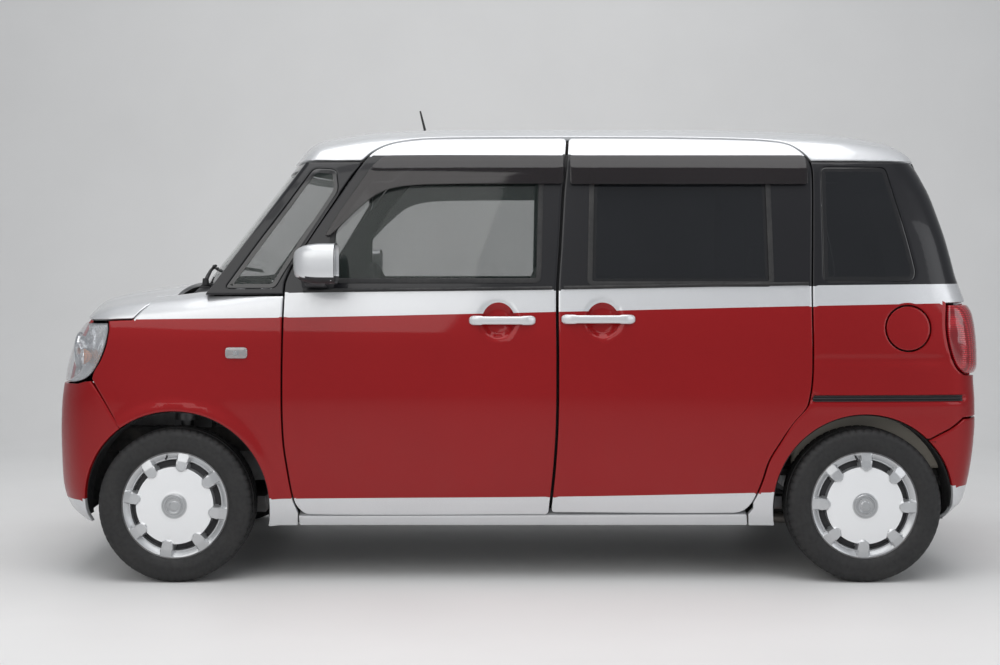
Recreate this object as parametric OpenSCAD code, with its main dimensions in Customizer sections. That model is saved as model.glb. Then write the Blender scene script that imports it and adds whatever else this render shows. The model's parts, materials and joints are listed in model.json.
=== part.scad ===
// Small boxy four-wheel van: separate named pieces, one shared frame.
// x = lateral (+x is the car's left), y = rearward (front is -y), z = up.
// Origin on the ground at the middle of the outer box. Millimetres.

/* [Wheels] */
// distance between the two axles
wheelbase = 2455; // [2300:5:2600]
// distance between wheel centre planes
track = 1300; // [1200:5:1360]
// outside radius of the tyre
tyre_r = 275; // [250:1:300]
// width of the tyre
tyre_w = 155; // [130:5:185]
// radius of the rim flange
rim_r = 186; // [160:1:200]
// radius of the front wheel arch
arch_f = 337; // [320:1:360]
// radius of the rear wheel arch
arch_r = 325; // [310:1:345]

/* [Body] */
// gap between neighbouring panels
gap = 6; // [5:0.5:9]
// thickness of outer skins
skin_t = 22; // [14:1:30]
// thickness of a door below the glass
door_t = 90; // [60:5:110]
// thickness of the door frame beside the glass
frame_t = 40; // [30:1:50]
// ground clearance of the sills
sill_z = 196; // [150:1:230]
// glass thickness
glass_t = 6; // [4:0.5:10]

/* [Seats] */
// sideways place of the front seats
seat_x = 325; // [280:5:380]
// width of a front seat
seat_w = 480; // [420:5:540]

/* [Steering wheel] */
// outside radius of the steering wheel rim
steer_r = 182; // [160:1:200]

/* [Mounts] */
// spacing of the number plate bolts
plate_sp = 210; // [180:1:240]
// radius of the plate bolt holes
plate_hole = 3.3; // [2.5:0.1:4.5]
// radius of the towing eye thread
tow_r = 8; // [6:0.5:10]

/* [Hidden] */

RED = [0.62,0.06,0.10]; SILVER = [0.80,0.81,0.82]; BLACK = [0.08,0.08,0.09];
GLASS = [0.35,0.42,0.42]; FABRIC = [0.45,0.43,0.42]; STEEL = [0.45,0.46,0.48];
RUBBER = [0.10,0.10,0.10]; LAMP = [0.75,0.78,0.80]; LAMPR = [0.70,0.10,0.12];

fy = -1197.5;           // front axle
ry = fy + wheelbase;    // rear axle
wx = track/2;
wz = tyre_r;
kp = 600;               // steering axis, from the middle

// half profile across the car: x, z, and how a skin offset moves each point
PR = [[676,196,1,0],[700,240,1,0],[716,300,1,0],[731,450,1,0],[737.5,650,1,0],
 [734,850,1,0],[724,950,1,0],[716,1000,1,0],[706,1060,1,0],[684,1200,1,0],
 [648,1400,1,0],[627,1500,1,0.1],[606,1556,1,0.4],[564,1592,0.7,0.8],
 [500,1618,0.4,1],[400,1640,0.15,1],[220,1652,0.05,1],[0,1655,0,1]];
WT = [for(p=PR) [p[1],p[0]]];
// half plan seen from above: x, y, offset directions
PL = [[0,-1697.5,0,1],[180,-1696,0,1],[360,-1685,0.1,1],[480,-1668,0.15,1],[560,-1651,0.3,1],
 [612,-1632,0.6,0.9],[650,-1590,0.85,0.5],[682,-1540,1,0.2],[708,-1460,1,0.1],[726,-1330,1,0],
 [748,-1150,1,0],[748,900,1,0],[740,1200,1,0],[728,1400,1,0],[718,1520,1,0],
 [705,1600,1,-0.1],[694,1640,0.9,-0.4],[672,1668,0.6,-0.8],[620,1684,0.2,-1],
 [480,1693,0,-1],[300,1697.5,0,-1],[0,1697.5,0,-1]];
// front and rear faces on the middle line, height then length
FT = [[196,-1604],[217,-1634],[243,-1662],[308,-1682],[343,-1691],[460,-1696],
 [526,-1697.5],[620,-1695],[690,-1687],[727,-1679],[774,-1667],[850,-1642],[929,-1609],
 [952,-1600],[985,-1570],[1005,-1532],[1023,-1491],[1068,-1190]];
RT = [[196,1580],[239,1612],[269,1650],[330,1668],[402,1682],[478,1692],[560,1697.5],
 [640,1697],[720,1692],[800,1691],[900,1684],[997,1662],[1031,1650],[1089,1629],
 [1147,1617],[1225,1597],[1302,1573],[1389,1544],[1443,1517],[1497,1494],[1545,1488]];
// roof line
TT = [[-890,1440],[-800,1556],[-740,1587],[-680,1606],[-616,1623],[-536,1638],[-424,1648],[-270,1653],
 [0,1656],[594,1656],[873,1650],[1050,1644],[1200,1634],[1300,1618],[1378,1600],[1443,1578],[1497,1553]];
// windscreen bow and bonnet crown, by x
BW = [[0,0],[150,4],[300,19],[420,39],[520,62],[600,86],[660,106]];
BC = [[0,0],[200,2],[350,8],[480,22],[560,36],[620,50],[680,66],[724,84]];

function rev(l) = [for(i=[len(l)-1:-1:0]) l[i]];
function pr(t) = [for(p=PR) [p[0]-p[2]*t, p[1]-p[3]*t]];
function W(z) = lookup(z,WT);
// a point list mirrored about x = 0 and closed
function sym(l) = concat(l, [for(p=rev(l)) if(p[0]>0.01) [-p[0],p[1]]]);

// a side-view outline pushed through the car, on the left half
module side(x0=300,x1=800) { translate([x0,0,0]) rotate([90,0,90]) linear_extrude(x1-x0) children(); }
// a front-view outline pushed from y0 to y1
module front(y0,y1) { translate([0,y1,0]) rotate([90,0,0]) linear_extrude(y1-y0) children(); }
module both() { children(); mirror([1,0,0]) children(); }
// side wall of the body between two depths, left half
module wall(a,b,y0=-1700,y1=1700) front(y0,y1) intersection() {
  polygon(concat(pr(a),rev(pr(b)))); translate([300,0]) square([600,1700]); }
// solid plan block between two heights
module plan(t,z0,z1) translate([0,0,z0]) linear_extrude(z1-z0)
  polygon(sym([for(p=PL) [p[0]-p[2]*t, p[1]+p[3]*t]]));
// block behind the front face, block ahead of the rear face
module behind(t) side(-900,900) polygon(concat([for(p=FT) [p[1]+t,p[0]-(p[0]>940?t*0.8:0)]],[[900,1100],[900,196]]));
module ahead(t) side(-900,900) polygon(concat([for(p=RT) [p[1]-t,p[0]]],[[1300,1545],[1300,196]]));
module under_roof(t) side(-900,900) polygon(concat([for(p=TT) [p[0],p[1]-t]],[[1497,1300],[-890,1300]]));
module crown(t) front(-900,1600) polygon(concat(sym(pr(t)),[]));
module screen(a,b) translate([0,-1190,1068]) rotate([-37.8,0,0]) translate([0,0,-60]) linear_extrude(740)
  polygon(concat([for(p=BW) [p[0],p[1]+a]], [for(p=rev(BW)) [p[0],p[1]+b]],
   [for(p=BW) if(p[0]>0) [-p[0],p[1]+b]], [for(p=rev(BW)) if(p[0]>0) [-p[0],p[1]+a]]));
module lid(a,b) translate([0,-1100,1081.5]) rotate([98.5,0,0]) linear_extrude(640)
  polygon(concat([for(p=BC) [p[0],-p[1]-a]], [for(p=rev(BC)) [p[0],-p[1]-b]],
   [for(p=BC) if(p[0]>0) [-p[0],-p[1]-b]], [for(p=rev(BC)) if(p[0]>0) [-p[0],-p[1]-a]]));

DF = [[-751,256],[-772,290],[-793,405],[-807,510],[-812,676],[-809,946],[-807,1023],
 [-804,1067],[-789,1105],[-761,1160],[-730,1209],[-677,1292],[-624,1372],[-571,1452],
 [-527,1513],[-501,1539],[-463,1562],[-419,1577],[-353,1588],[-259,1594],[200,1597],
 [193,1514],[182,1408],[169,1196],[159,1039],[160,779],[158,571],[149,415],[132,248],
 [124,240],[-722,240]];
DS = [[142,248],[159,415],[168,571],[170,779],[169,1039],[179,1196],[192,1408],
 [203,1514],[210,1597],[585,1595],[826,1590],[945,1583],[1006,1571],[1048,1543],
 [1074,1513],[1084,1465],[1077,1246],[1069,1010],[1068,775],[1064,704],[1054,646],
 [1045,622],[995,563],[948,493],[913,434],[890,363],[872,316],[854,281],[831,257],
 [796,246]];
GF = [[-646,1074],[98,1074],[110,1498],[-462,1498],[-560,1380],[-640,1255]];
GS = [[279,1062],[929,1062],[924,1492],[291,1492]];
GQ = [[-1024,1046],[-842,1046],[-806,1110],[-622,1400],[-632,1478],[-716,1484]];
GR = [[1114,1072],[1440,1072],[1446,1116],[1356,1486],[1118,1486]];
LH = [[-1760,925],[-1442,925],[-1439,901],[-1449,847],[-1470,793],[-1497,751],
 [-1533,722],[-1575,710],[-1760,704]];
LT = [[1559,990],[1555,897],[1570,818],[1591,768],[1620,742],[1760,730],[1760,996]];
BF = [[-1760,698],[-1575,704],[-1533,716],[-1498,719],[-1403,556],[-1380,180],[-1760,180]];
BR = [[1460,488],[1491,507],[1563,543],[1620,582],[1760,590],[1760,180],[1440,180]];
BN = [[-1760,937],[-1350,940],[-1288,1010],[-1256,1016],[-1256,1200],[-1760,1200]];
TG = [[-560,520],[-556,700],[-548,1000],[-520,1250],[-500,1490],[-500,1720],[500,1720],
 [500,1490],[520,1250],[548,1000],[556,700],[560,520]];
TW = [[-484,1040],[-438,1452],[438,1452],[484,1040]];
WS = [[-634,1080],[-586,1503],[586,1503],[634,1080]];

module hole_f() { translate([fy,wz]) circle(r=arch_f); }
module hole_r() { translate([ry,wz]) circle(r=arch_r); }
module cut(p) { offset(delta=gap,chamfer=true) polygon(p); }

module door(o,w) {
  difference() {
    union() {
      intersection() { wall(0,skin_t); side() polygon(o); }
      intersection() { wall(skin_t-3,frame_t);
        side() intersection() { offset(delta=-10) polygon(o); translate([-900,1000]) square([2200,600]); } }
      intersection() { wall(skin_t-3,door_t);
        side() intersection() { offset(delta=-34) polygon(o); translate([-900,100]) square([2200,940]); } }
    }
    side() polygon(w);
  }
}
module pane(w) { intersection() { wall(12,12+glass_t); side() offset(delta=-1) polygon(w); } }

// ---------------------------------------------------------------- structure
module floor_pan() color(BLACK) {
  difference() {
    union() {
      translate([-575,-860,215]) cube([1150,1780,26]);
      translate([-90,-860,241]) cube([180,1500,70]);
      translate([-575,900,215]) cube([1150,26,165]);
      translate([-540,900,358]) cube([1080,740,24]);
      translate([-540,1616,300]) cube([1080,24,300]);
      translate([-572,-884,215]) cube([1144,24,780]);
      for(s=[-1,1]) translate([s*360-35,-1600,430]) cube([70,740,90]);
      translate([-560,-1626,425]) cube([1120,50,100]);
      for(s=[-1,1]) translate([s*470-40,-860,180]) cube([80,1500,36]);
    }
    translate([-300,-1640,475]) rotate([-90,0,0]) cylinder(r=tow_r,h=80);
    body_shell(); fender_shell(); front_bumper(); rear_bumper();
  }
}
module body_sides() color(BLACK) body_shell();
module body_shell() both() {
  difference() {
    union() {
      // outer skin
      intersection() { wall(0,28,-1200,1306);
        side() polygon([[-700,196],[-700,1026],[-1090,1026],[-735,1503],[1700,1503],[1700,196]]); }
      intersection() { tail(0,28); side(300,900) translate([1250,150]) square([600,1353]);
        front(1240,1800) difference() { translate([300,100]) square([600,1500]); offset(delta=gap) polygon(TG); } }
      // sill, pillars and rail seen when the doors open
      intersection() { wall(1,132); side(400) translate([-759,197]) square([1703,34]); }
      intersection() { wall(20,132); side(400) translate([-836,197]) square([100,34]); }
      intersection() { wall(98,132); side(400) difference() {
        translate([-845,200]) square([1953,830]);
        translate([-770,300]) square([860,1000]);
        translate([190,300]) square([850,1000]); } }
      intersection() { wall(46,78); side(400) difference() {
        translate([-880,1020]) square([2010,545]);
        polygon([[-770,1000],[-735,1105],[-520,1440],[-470,1500],[-380,1530],[96,1540],[110,1000]]);
        polygon([[205,1000],[240,1530],[1000,1520],[1030,1470],[1040,1000]]);
        polygon([[-900,1000],[-860,1020],[-560,1480],[-520,1570],[-900,1570]]); } }
      intersection() { wall(70,106); side(400) translate([-872,1010]) square([1980,30]); }
      // ties between skin and inner frame
      intersection() { wall(20,132); side(400) translate([1094,640]) square([16,430]); }
      intersection() { wall(20,78); side(400) translate([1096,1030]) square([14,470]); }
      intersection() { wall(20,132); side(400) translate([-845,198]) square([40,30]); }
    }
    side() { cut(DF); cut(DS); polygon(GQ); polygon(GR); cut(LT); cut(BR); }
    side(400) hole_r();
    translate([660,1413,905]) rotate([0,90,0]) cylinder(r=84,h=200);
  }
  // rear wheel house
  difference() {
    intersection() { wall(2,400); translate([548,ry,wz]) rotate([0,90,0]) difference() {
      cylinder(r=326,h=240); translate([0,0,10]) cylinder(r=312,h=240); translate([0,0,-1]) cylinder(r=46,h=12); translate([60,-400,-1]) cube([400,800,400]); } }
    difference() { side() polygon([[1420,80],[1440,480],[1486,513],[1558,549],[1616,588],[1700,600],[1700,80]]); intersection() { wall_all(37); plan(37,60,800); } }
    side() translate([1562,80]) square([100,172]);
  }
}
module roof_panel() color(SILVER) {
  difference() {
    intersection() { crown(0); under_roof(0); side(-900,900) polygon([[-860,1509],[-860,1700],[1497,1700],[1497,1509]]); }
    intersection() { crown(28); under_roof(28); }
    both() side(0,900) { cut(DF); cut(DS); }
    front(1406,1800) offset(delta=gap) polygon(TG);
  }
  translate([0,-352,1640]) { cylinder(r=17,h=26); translate([0,-8,26]) rotate([18,0,0]) cylinder(r=4,h=92); translate([0,-5,22]) cylinder(r=9,h=10); }
}
module front_fenders() color(RED) fender_shell();
module fender_shell() both() {
  difference() {
    union() {
      intersection() { union() { wall(0,18,-1296,-700);
          intersection() { nose(0,18); side(500,900) translate([-1700,100]) square([410,1000]); } }
        side() polygon([[-1640,196],[-1640,940],[-1294,1006],[-1090,1020],[-812-gap,1020],[-812-gap,420],[-790-gap,330],[-760-gap,230],[-760-gap,196]]); }
      intersection() { lid(0,18); side(610,716) polygon([[-1300,1000],[-1300,1100],[-1096,1100],[-1096,990]]); }
    }
    side() { cut(DF); hole_f(); cut(LH); cut(BF); polygon([[-1700,932],[-1344,934],[-1296,1000],[-1296,1200],[-1700,1200]]); }
  }
  difference() {
    intersection() { wall(2,400); plan(3,100,700); translate([572,fy,wz]) rotate([0,90,0]) difference() {
      cylinder(r=350,h=240); translate([0,0,-1]) cylinder(r=arch_f+1,h=260); translate([-20,-400,-1]) cube([400,800,400]); } }
    difference() { side() polygon([[-1700,80],[-1700,712],[-1496,726],[-1396,560],[-1368,80]]); intersection() { wall_all(37); plan(37,60,800); } }
  }
}
module nose(t0,t1) difference() {
  intersection() { plan(t0,196,990); behind(t0); wall_all(t0); }
  intersection() { plan(t1,100,1100); behind_low(t1); wall_all(t1); }
}
module behind_low(t) side(-900,900) polygon(concat([[FT[0][1]+t,100]],[for(p=FT) [p[1]+t,p[0]-(p[0]>940?t*0.8:0)]],[[900,1100],[900,100]]));
module ahead_low(t) side(-900,900) polygon(concat([[RT[0][1]-t,100]],[for(p=RT) [p[1]-t,p[0]]],[[1290,1545],[1290,100]]));
module wall_all(t) front(-1800,1800) polygon(sym(concat([[pr(t)[0][0],100]],pr(t))));
module tail(t0,t1) difference() {
  intersection() { plan(t0,196,1545); ahead(t0); wall_all(t0); }
  intersection() { plan(t1,100,1700); ahead_low(t1); wall_all(t1); }
}
module front_bumper() color(RED) {
  difference() {
    nose(0,34);
    side(-900,900) { hole_f(); polygon([[-1000,100],[-1000,1100],[-1380,1100],[-1380,180],[-1100,180],[-1100,100]]); }
    both() side(384,900) polygon([[-1800,698],[-1575,704],[-1533,716],[-1498,719],[-1403,556],[-1380,100],[900,100],[900,1100],[-1800,1100]]);
    side(-900,900) translate([-1800,929]) square([3000,300]);
    side(-384,384) translate([-1590,100]) square([3000,1000]);
    translate([-260,-1720,540]) cube([520,60,118]);
    translate([-174,-1720,424]) cube([348,32.4,98]);
    translate([-300,-1720,475]) rotate([-90,0,0]) cylinder(r=22,h=80);
  }
  translate([-262,-1662,535]) cube([524,10,128]);
  for(i=[0:3]) translate([-260,-1672,552+i*28]) cube([520,12,10]);
}
module rear_bumper() color(RED) difference() {
  tail(0,34);
  side(-900,900) { hole_r(); polygon([[-900,100],[-900,1700],[1760,1700],[1760,590],[1620,582],[1563,543],[1491,507],[1460,488],[1440,100]]); }
  front(1300,1800) offset(delta=gap) polygon(TG);
  translate([-600,1300,514]) cube([1200,500,200]);
}
module windscreen() color(GLASS) intersection() {
  screen(10,22);
  front(-1300,-600) offset(delta=-1) polygon(WS);
}
module side_glass() color(GLASS) both() { pane(GQ); pane(GR); pane(GS); }

module sliding_doors() color(RED) both() door(DS,GS);
module grip(y0,y1,z) {
  translate([742,y0,z-14]) cube([16,y1-y0,28]);
  for(y=[y0+6,y1-24]) translate([726.6,y,z-8]) cube([18,18,16]);
}
module sliding_door_handles() color(SILVER) both() grip(178,440,938);

// ---------------------------------------------------------------- doors
module left_front_door() color(RED) door(DF,GF);
module right_front_door() color(RED) mirror([1,0,0]) door(DF,GF);
module left_door_glass() color(GLASS) pane(GF);
module right_door_glass() color(GLASS) mirror([1,0,0]) pane(GF);
module mirror_part() {
  hull() { translate([709,-760,1052]) cube([18,110,14]); translate([701,-715,1110]) cube([6,60,8]); }
  hull() { translate([722,-732,1054]) cube([6,74,14]); translate([775,-740,1066]) cube([6,80,24]); }
  hull() { translate([768,-757,1078]) cube([140,20,112]); translate([760,-700,1064]) cube([164,70,142]);
    translate([776,-640,1082]) cube([130,32,108]); }
}
module left_door_mirror() color(SILVER) mirror_part();
module right_door_mirror() color(SILVER) mirror([1,0,0]) mirror_part();
module left_door_handle() color(SILVER) grip(-150,86,934);
module right_door_handle() color(SILVER) mirror([1,0,0]) grip(-150,86,934);

module bonnet() color(RED) difference() {
  intersection() {
    union() { lid(0,20); nose(0,20); }
    plan(0,900,1120); behind(0);
    both() side(-1,900) polygon([[-1760,937],[-1350,940],[-1290,1008],[-1210,1016],[-1210,1200],[-1760,1200]]);
    translate([-900,-1800,900]) cube([1800,588,400]);
  }
  both() translate([603,-1296,900]) cube([300,400,400]);
  translate([-560,-1560,900]) cube([1120,400,68]);
}
module tailgate() color(RED) difference() {
  intersection() {
    union() { tail(0,48); difference() { intersection() { crown(0); under_roof(0); } intersection() { crown(40); under_roof(40); } } }
    front(1412,1720) polygon(TG);
    translate([-900,1412,520]) cube([1800,300,1200]);
  }
  front(1300,1800) polygon(TW);
}
module tailgate_glass() color(GLASS) intersection() {
  difference() { ahead(12); ahead_low(24); }
  front(1412,1800) offset(delta=-1) polygon(TW);
}
module fuel_flap() color(RED) intersection() {
  wall(0,16);
  translate([600,1413,905]) rotate([0,90,0]) cylinder(r=78,h=200);
}

// ---------------------------------------------------------------- lamps
module headlights() color(LAMP) difference() {
  both() intersection() { nose(0,60); side(392,900) polygon(LH); }
}
module tail_lights() color(LAMPR) both() intersection() { tail(0,46); side(566,900) polygon(LT); }

// ---------------------------------------------------------------- inside
module dashboard() color(BLACK) translate([-560,0,0]) rotate([90,0,90]) linear_extrude(1120)
  polygon([[-1000,1000],[-1000,1014],[-900,1030],[-760,1028],[-640,1004],[-596,950],[-600,860],[-640,720],[-850,660],[-850,1000]]);
module seat(w) {
  hull() { for(s=[-1,1]) { translate([s*(w/2-30),-330,470]) sphere(r=50,$fn=12); translate([s*(w/2-30),110,450]) sphere(r=50,$fn=12);
    translate([s*(w/2-40),-320,540]) sphere(r=50,$fn=12); translate([s*(w/2-40),120,510]) sphere(r=50,$fn=12); } }
  hull() { for(s=[-1,1]) { translate([s*(w/2-45),130,520]) sphere(r=52,$fn=12); translate([s*(w/2-70),300,1080]) sphere(r=46,$fn=12); } }
  hull() { for(s=[-1,1]) { translate([s*85,318,1180]) sphere(r=40,$fn=12); translate([s*80,326,1265]) sphere(r=38,$fn=12); } }
  for(s=[-1,1]) hull() { translate([s*60,304,1090]) cylinder(r=7,h=10,$fn=8); translate([s*60,318,1180]) cylinder(r=7,h=10,$fn=8); }
  for(s=[-1,1]) hull() { translate([s*190-15,-320,255]) cube([30,420,20]); translate([s*190-15,-260,400]) cube([30,340,40]); }
}
module front_seats() color(FABRIC) { for(s=[-1,1]) translate([s*seat_x,-130,-10]) seat(seat_w); }
module rear_seat() color(FABRIC) for(s=[-1,1]) translate([s*278,770,0]) {
  hull() { for(a=[-1,1]) for(z=[430,520]) { translate([a*215,-290,z]) sphere(r=45,$fn=12); translate([a*215,120,z]) sphere(r=45,$fn=12); } }
  hull() { for(a=[-1,1]) { translate([a*212,130,500]) sphere(r=48,$fn=12); translate([a*195,280,1040]) sphere(r=42,$fn=12); } }
  hull() { for(a=[-1,1]) { translate([a*85,292,1130]) sphere(r=34,$fn=12); translate([a*80,298,1190]) sphere(r=32,$fn=12); } }
  for(a=[-1,1]) hull() { translate([a*50,284,1040]) cylinder(r=6,h=10,$fn=8); translate([a*50,292,1130]) cylinder(r=6,h=10,$fn=8); }
  translate([-176,-240,241]) cube([352,330,160]);
}
module steering_wheel() color(BLACK) translate([-seat_x,-520,975]) rotate([-65,0,0]) {
  rotate_extrude() translate([steer_r-14,0]) circle(r=14);
  translate([0,0,-12]) cylinder(r=58,h=34);
  for(a=[0,180,270]) rotate([0,0,a]) translate([40,-16,-6]) cube([steer_r-58,32,12]);
  translate([0,0,-52]) cylinder(r=22,h=45);
}

// ---------------------------------------------------------------- running gear
module engine() color(STEEL) translate([-250,-1520,300]) cube([500,560,560]);
module front_suspension() color(STEEL) {
  translate([-330,-1360,190]) cube([660,420,60]);
  for(s=[-1,1]) translate([s*360-30,-1300,240]) cube([60,200,189]);
  for(s=[-1,1]) {
    translate([s>0?325:-505,-1225,196]) cube([180,60,34]);
    translate([s*497,fy,194]) cylinder(r=26,h=26);
    translate([s*505,fy,380]) cylinder(r=24,h=330);
    translate([s*505,fy,560]) cylinder(r=46,h=190);
    translate([s*505,fy,748]) cylinder(r=70,h=22);
    translate([s>0?390:-580,fy-70,768]) cube([190,140,16]);
    translate([s>0?400:-416,fy-70,522]) cube([16,140,250]);
    translate([s>0?330:-416,fy-70,521]) cube([86,140,14]);
  }
}
module rear_axle() color(STEEL) {
  translate([-520,ry-150,225]) cube([1040,60,60]);
  for(s=[-1,1]) {
    translate([s>0?460:-520,ry-330,232]) cube([60,350,46]);
    translate([s>0?470:-634,ry,wz]) rotate([0,90,0]) cylinder(r=34,h=164);
    translate([s>0?592:-632,ry,wz]) rotate([0,90,0]) cylinder(r=100,h=40);
    translate([s*440,ry-80,270]) cylinder(r=48,h=84);
    translate([s*500,ry+52,250]) cylinder(r=20,h=104);
    translate([s*500-22,ry,250]) cube([44,60,40]);
  }
}
module fuel_tank() color(BLACK) translate([-330,330,135]) cube([560,560,78]);
module exhaust() color(STEEL) {
  translate([60,-900,164]) rotate([-90,0,0]) cylinder(r=22,h=1130);
  translate([60,230,164]) sphere(r=22);
  translate([60,230,164]) rotate([0,90,0]) cylinder(r=22,h=236);
  translate([296,230,164]) sphere(r=22);
  translate([296,230,164]) rotate([-90,0,0]) cylinder(r=22,h=1130);
  translate([70,1345,150]) cube([400,180,90]);
  translate([400,1520,205]) rotate([-90,0,0]) cylinder(r=18,h=30);
}
module wipers() color(BLACK) {
  intersection() { lid(2,16); translate([0,0,900]) linear_extrude(300)
    polygon([[-603,-1205],[603,-1205],[603,-1102],[520,-1134],[420,-1160],[300,-1182],[150,-1196],[0,-1200],[-150,-1196],[-300,-1182],[-420,-1160],[-520,-1134],[-603,-1102]]); }
  for(s=[0,1]) translate([-430+s*500,-1184,1066]) rotate([0,-3,0]) cube([420,12,12]);
  for(x=[-430,70]) translate([x+2,-1178,1050]) cylinder(r=9,h=30);
}
module front_plate_bracket() color(BLACK) difference() {
  translate([-170,-1697.4,428]) cube([340,9.8,90]);
  for(s=[-1,1]) translate([s*plate_sp/2,-1712,490]) rotate([-90,0,0]) cylinder(r=plate_hole,h=20);
}
module knuckle(s) color(STEEL) {
  translate([s>0?560:-634,fy,wz]) rotate([0,90,0]) cylinder(r=42,h=74);
  translate([s*kp,fy,232]) cylinder(r=17,h=43);
  translate([s>0?536:-610,fy-24,226]) cube([74,48,14]);
  translate([s>0?540:-600,fy-24,262]) cube([60,48,90]);
  translate([s>0?530:-580,fy+20,250]) cube([50,130,20]);
}
module left_knuckle() knuckle(1);
module right_knuckle() knuckle(-1);
module tyre(x,y) color(RUBBER) translate([x,y,wz]) rotate([0,90,0]) rotate_extrude()
  polygon([[rim_r,-tyre_w/2+14],[rim_r+30,-tyre_w/2+2],[tyre_r-45,-tyre_w/2],[tyre_r-14,-tyre_w/2+10],[tyre_r-2,-tyre_w/2+26],
   [tyre_r,0],[tyre_r-2,tyre_w/2-26],[tyre_r-14,tyre_w/2-10],[tyre_r-45,tyre_w/2],[rim_r+30,tyre_w/2-2],[rim_r,tyre_w/2-14]]);
module wheel(x,y) color(SILVER) translate([x,y,wz]) rotate([0,x>0?90:-90,0]) {
  rotate_extrude() polygon([[rim_r-10,-62],[rim_r-0.4,-62],[rim_r-0.4,64],[rim_r-12,64],[rim_r-26,40],[rim_r-30,-20]]);
  difference() {
    rotate_extrude() polygon([[0,34],[0,58],[40,66],[110,62],[rim_r-20,56],[rim_r-4,62],[rim_r-4,52],[rim_r-24,44],[110,48],[40,50]]);
    for(a=[0:45:315]) rotate([0,0,a+22.5]) translate([150,0,20]) cylinder(r=13,h=60);
  }
  translate([0,0,-10]) cylinder(r=62,h=50);
}
module front_left_tyre() tyre(wx,fy);
module front_left_wheel() wheel(wx,fy);
module front_right_tyre() tyre(-wx,fy);
module front_right_wheel() wheel(-wx,fy);
module rear_left_tyre() tyre(wx,ry);
module rear_left_wheel() wheel(wx,ry);
module rear_right_tyre() tyre(-wx,ry);
module rear_right_wheel() wheel(-wx,ry);

floor_pan();
body_sides();
roof_panel();
front_fenders();
front_bumper();
rear_bumper();
windscreen();
side_glass();
sliding_doors();
sliding_door_handles();
headlights();
tail_lights();
dashboard();
front_seats();
rear_seat();
engine();
front_suspension();
rear_axle();
fuel_tank();
exhaust();
wipers();
steering_wheel();
left_front_door();
left_door_glass();
left_door_mirror();
left_door_handle();
right_front_door();
right_door_glass();
right_door_mirror();
right_door_handle();
bonnet();
tailgate();
tailgate_glass();
left_knuckle();
right_knuckle();
front_left_tyre();
front_left_wheel();
front_right_tyre();
front_right_wheel();
rear_left_tyre();
rear_left_wheel();
rear_right_tyre();
rear_right_wheel();
fuel_flap();
front_plate_bracket();
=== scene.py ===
import json
import math

import bmesh
import bpy
import numpy as np
from mathutils import Matrix, Vector
from mathutils.geometry import delaunay_2d_cdt

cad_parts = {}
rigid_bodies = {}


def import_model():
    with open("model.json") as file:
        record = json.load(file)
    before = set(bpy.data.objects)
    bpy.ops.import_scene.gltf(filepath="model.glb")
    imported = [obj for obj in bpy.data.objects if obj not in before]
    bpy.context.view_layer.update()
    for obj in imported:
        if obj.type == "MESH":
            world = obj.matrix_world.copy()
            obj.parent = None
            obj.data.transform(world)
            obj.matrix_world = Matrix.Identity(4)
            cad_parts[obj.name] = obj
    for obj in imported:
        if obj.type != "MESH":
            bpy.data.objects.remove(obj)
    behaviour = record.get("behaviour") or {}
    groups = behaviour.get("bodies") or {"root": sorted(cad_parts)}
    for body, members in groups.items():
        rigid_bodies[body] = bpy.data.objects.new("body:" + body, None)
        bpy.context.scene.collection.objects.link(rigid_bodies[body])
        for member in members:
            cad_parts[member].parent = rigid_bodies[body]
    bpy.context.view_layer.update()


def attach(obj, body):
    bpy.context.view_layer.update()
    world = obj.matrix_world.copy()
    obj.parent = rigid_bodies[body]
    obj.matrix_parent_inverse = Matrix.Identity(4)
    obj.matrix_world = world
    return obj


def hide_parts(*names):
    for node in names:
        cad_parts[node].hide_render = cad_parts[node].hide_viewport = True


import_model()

RNG = np.random.default_rng(7)


# ------------------------------------------------------------------ curves
class Curve:
    """Smooth shape-keeping curve through a table."""

    def __init__(self, pts):
        p = sorted(pts)
        self.x = np.array([a[0] for a in p], float)
        self.y = np.array([a[1] for a in p], float)
        h = np.diff(self.x)
        d = np.diff(self.y) / h
        m = np.zeros(len(self.x))
        m[0], m[-1] = d[0], d[-1]
        for i in range(1, len(d)):
            if d[i - 1] * d[i] > 0:
                w1, w2 = 2 * h[i] + h[i - 1], h[i] + 2 * h[i - 1]
                m[i] = (w1 + w2) / (w1 / d[i - 1] + w2 / d[i])
        self.m = m

    def __call__(self, v):
        v = np.asarray(v, float)
        x = np.clip(v, self.x[0], self.x[-1])
        i = np.clip(np.searchsorted(self.x, x, side="right") - 1, 0, len(self.x) - 2)
        h = self.x[i + 1] - self.x[i]
        t = (x - self.x[i]) / h
        y0, y1, m0, m1 = self.y[i], self.y[i + 1], self.m[i] * h, self.m[i + 1] * h
        out = (
            (2 * t**3 - 3 * t**2 + 1) * y0
            + (t**3 - 2 * t**2 + t) * m0
            + (-2 * t**3 + 3 * t**2) * y1
            + (t**3 - t**2) * m1
        )
        return out + np.where(v > self.x[-1], (v - self.x[-1]) * self.m[-1], 0) + np.where(
            v < self.x[0], (v - self.x[0]) * self.m[0], 0
        )


def mm(pts):
    return [(a / 1000, b / 1000) for a, b in pts]


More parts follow.
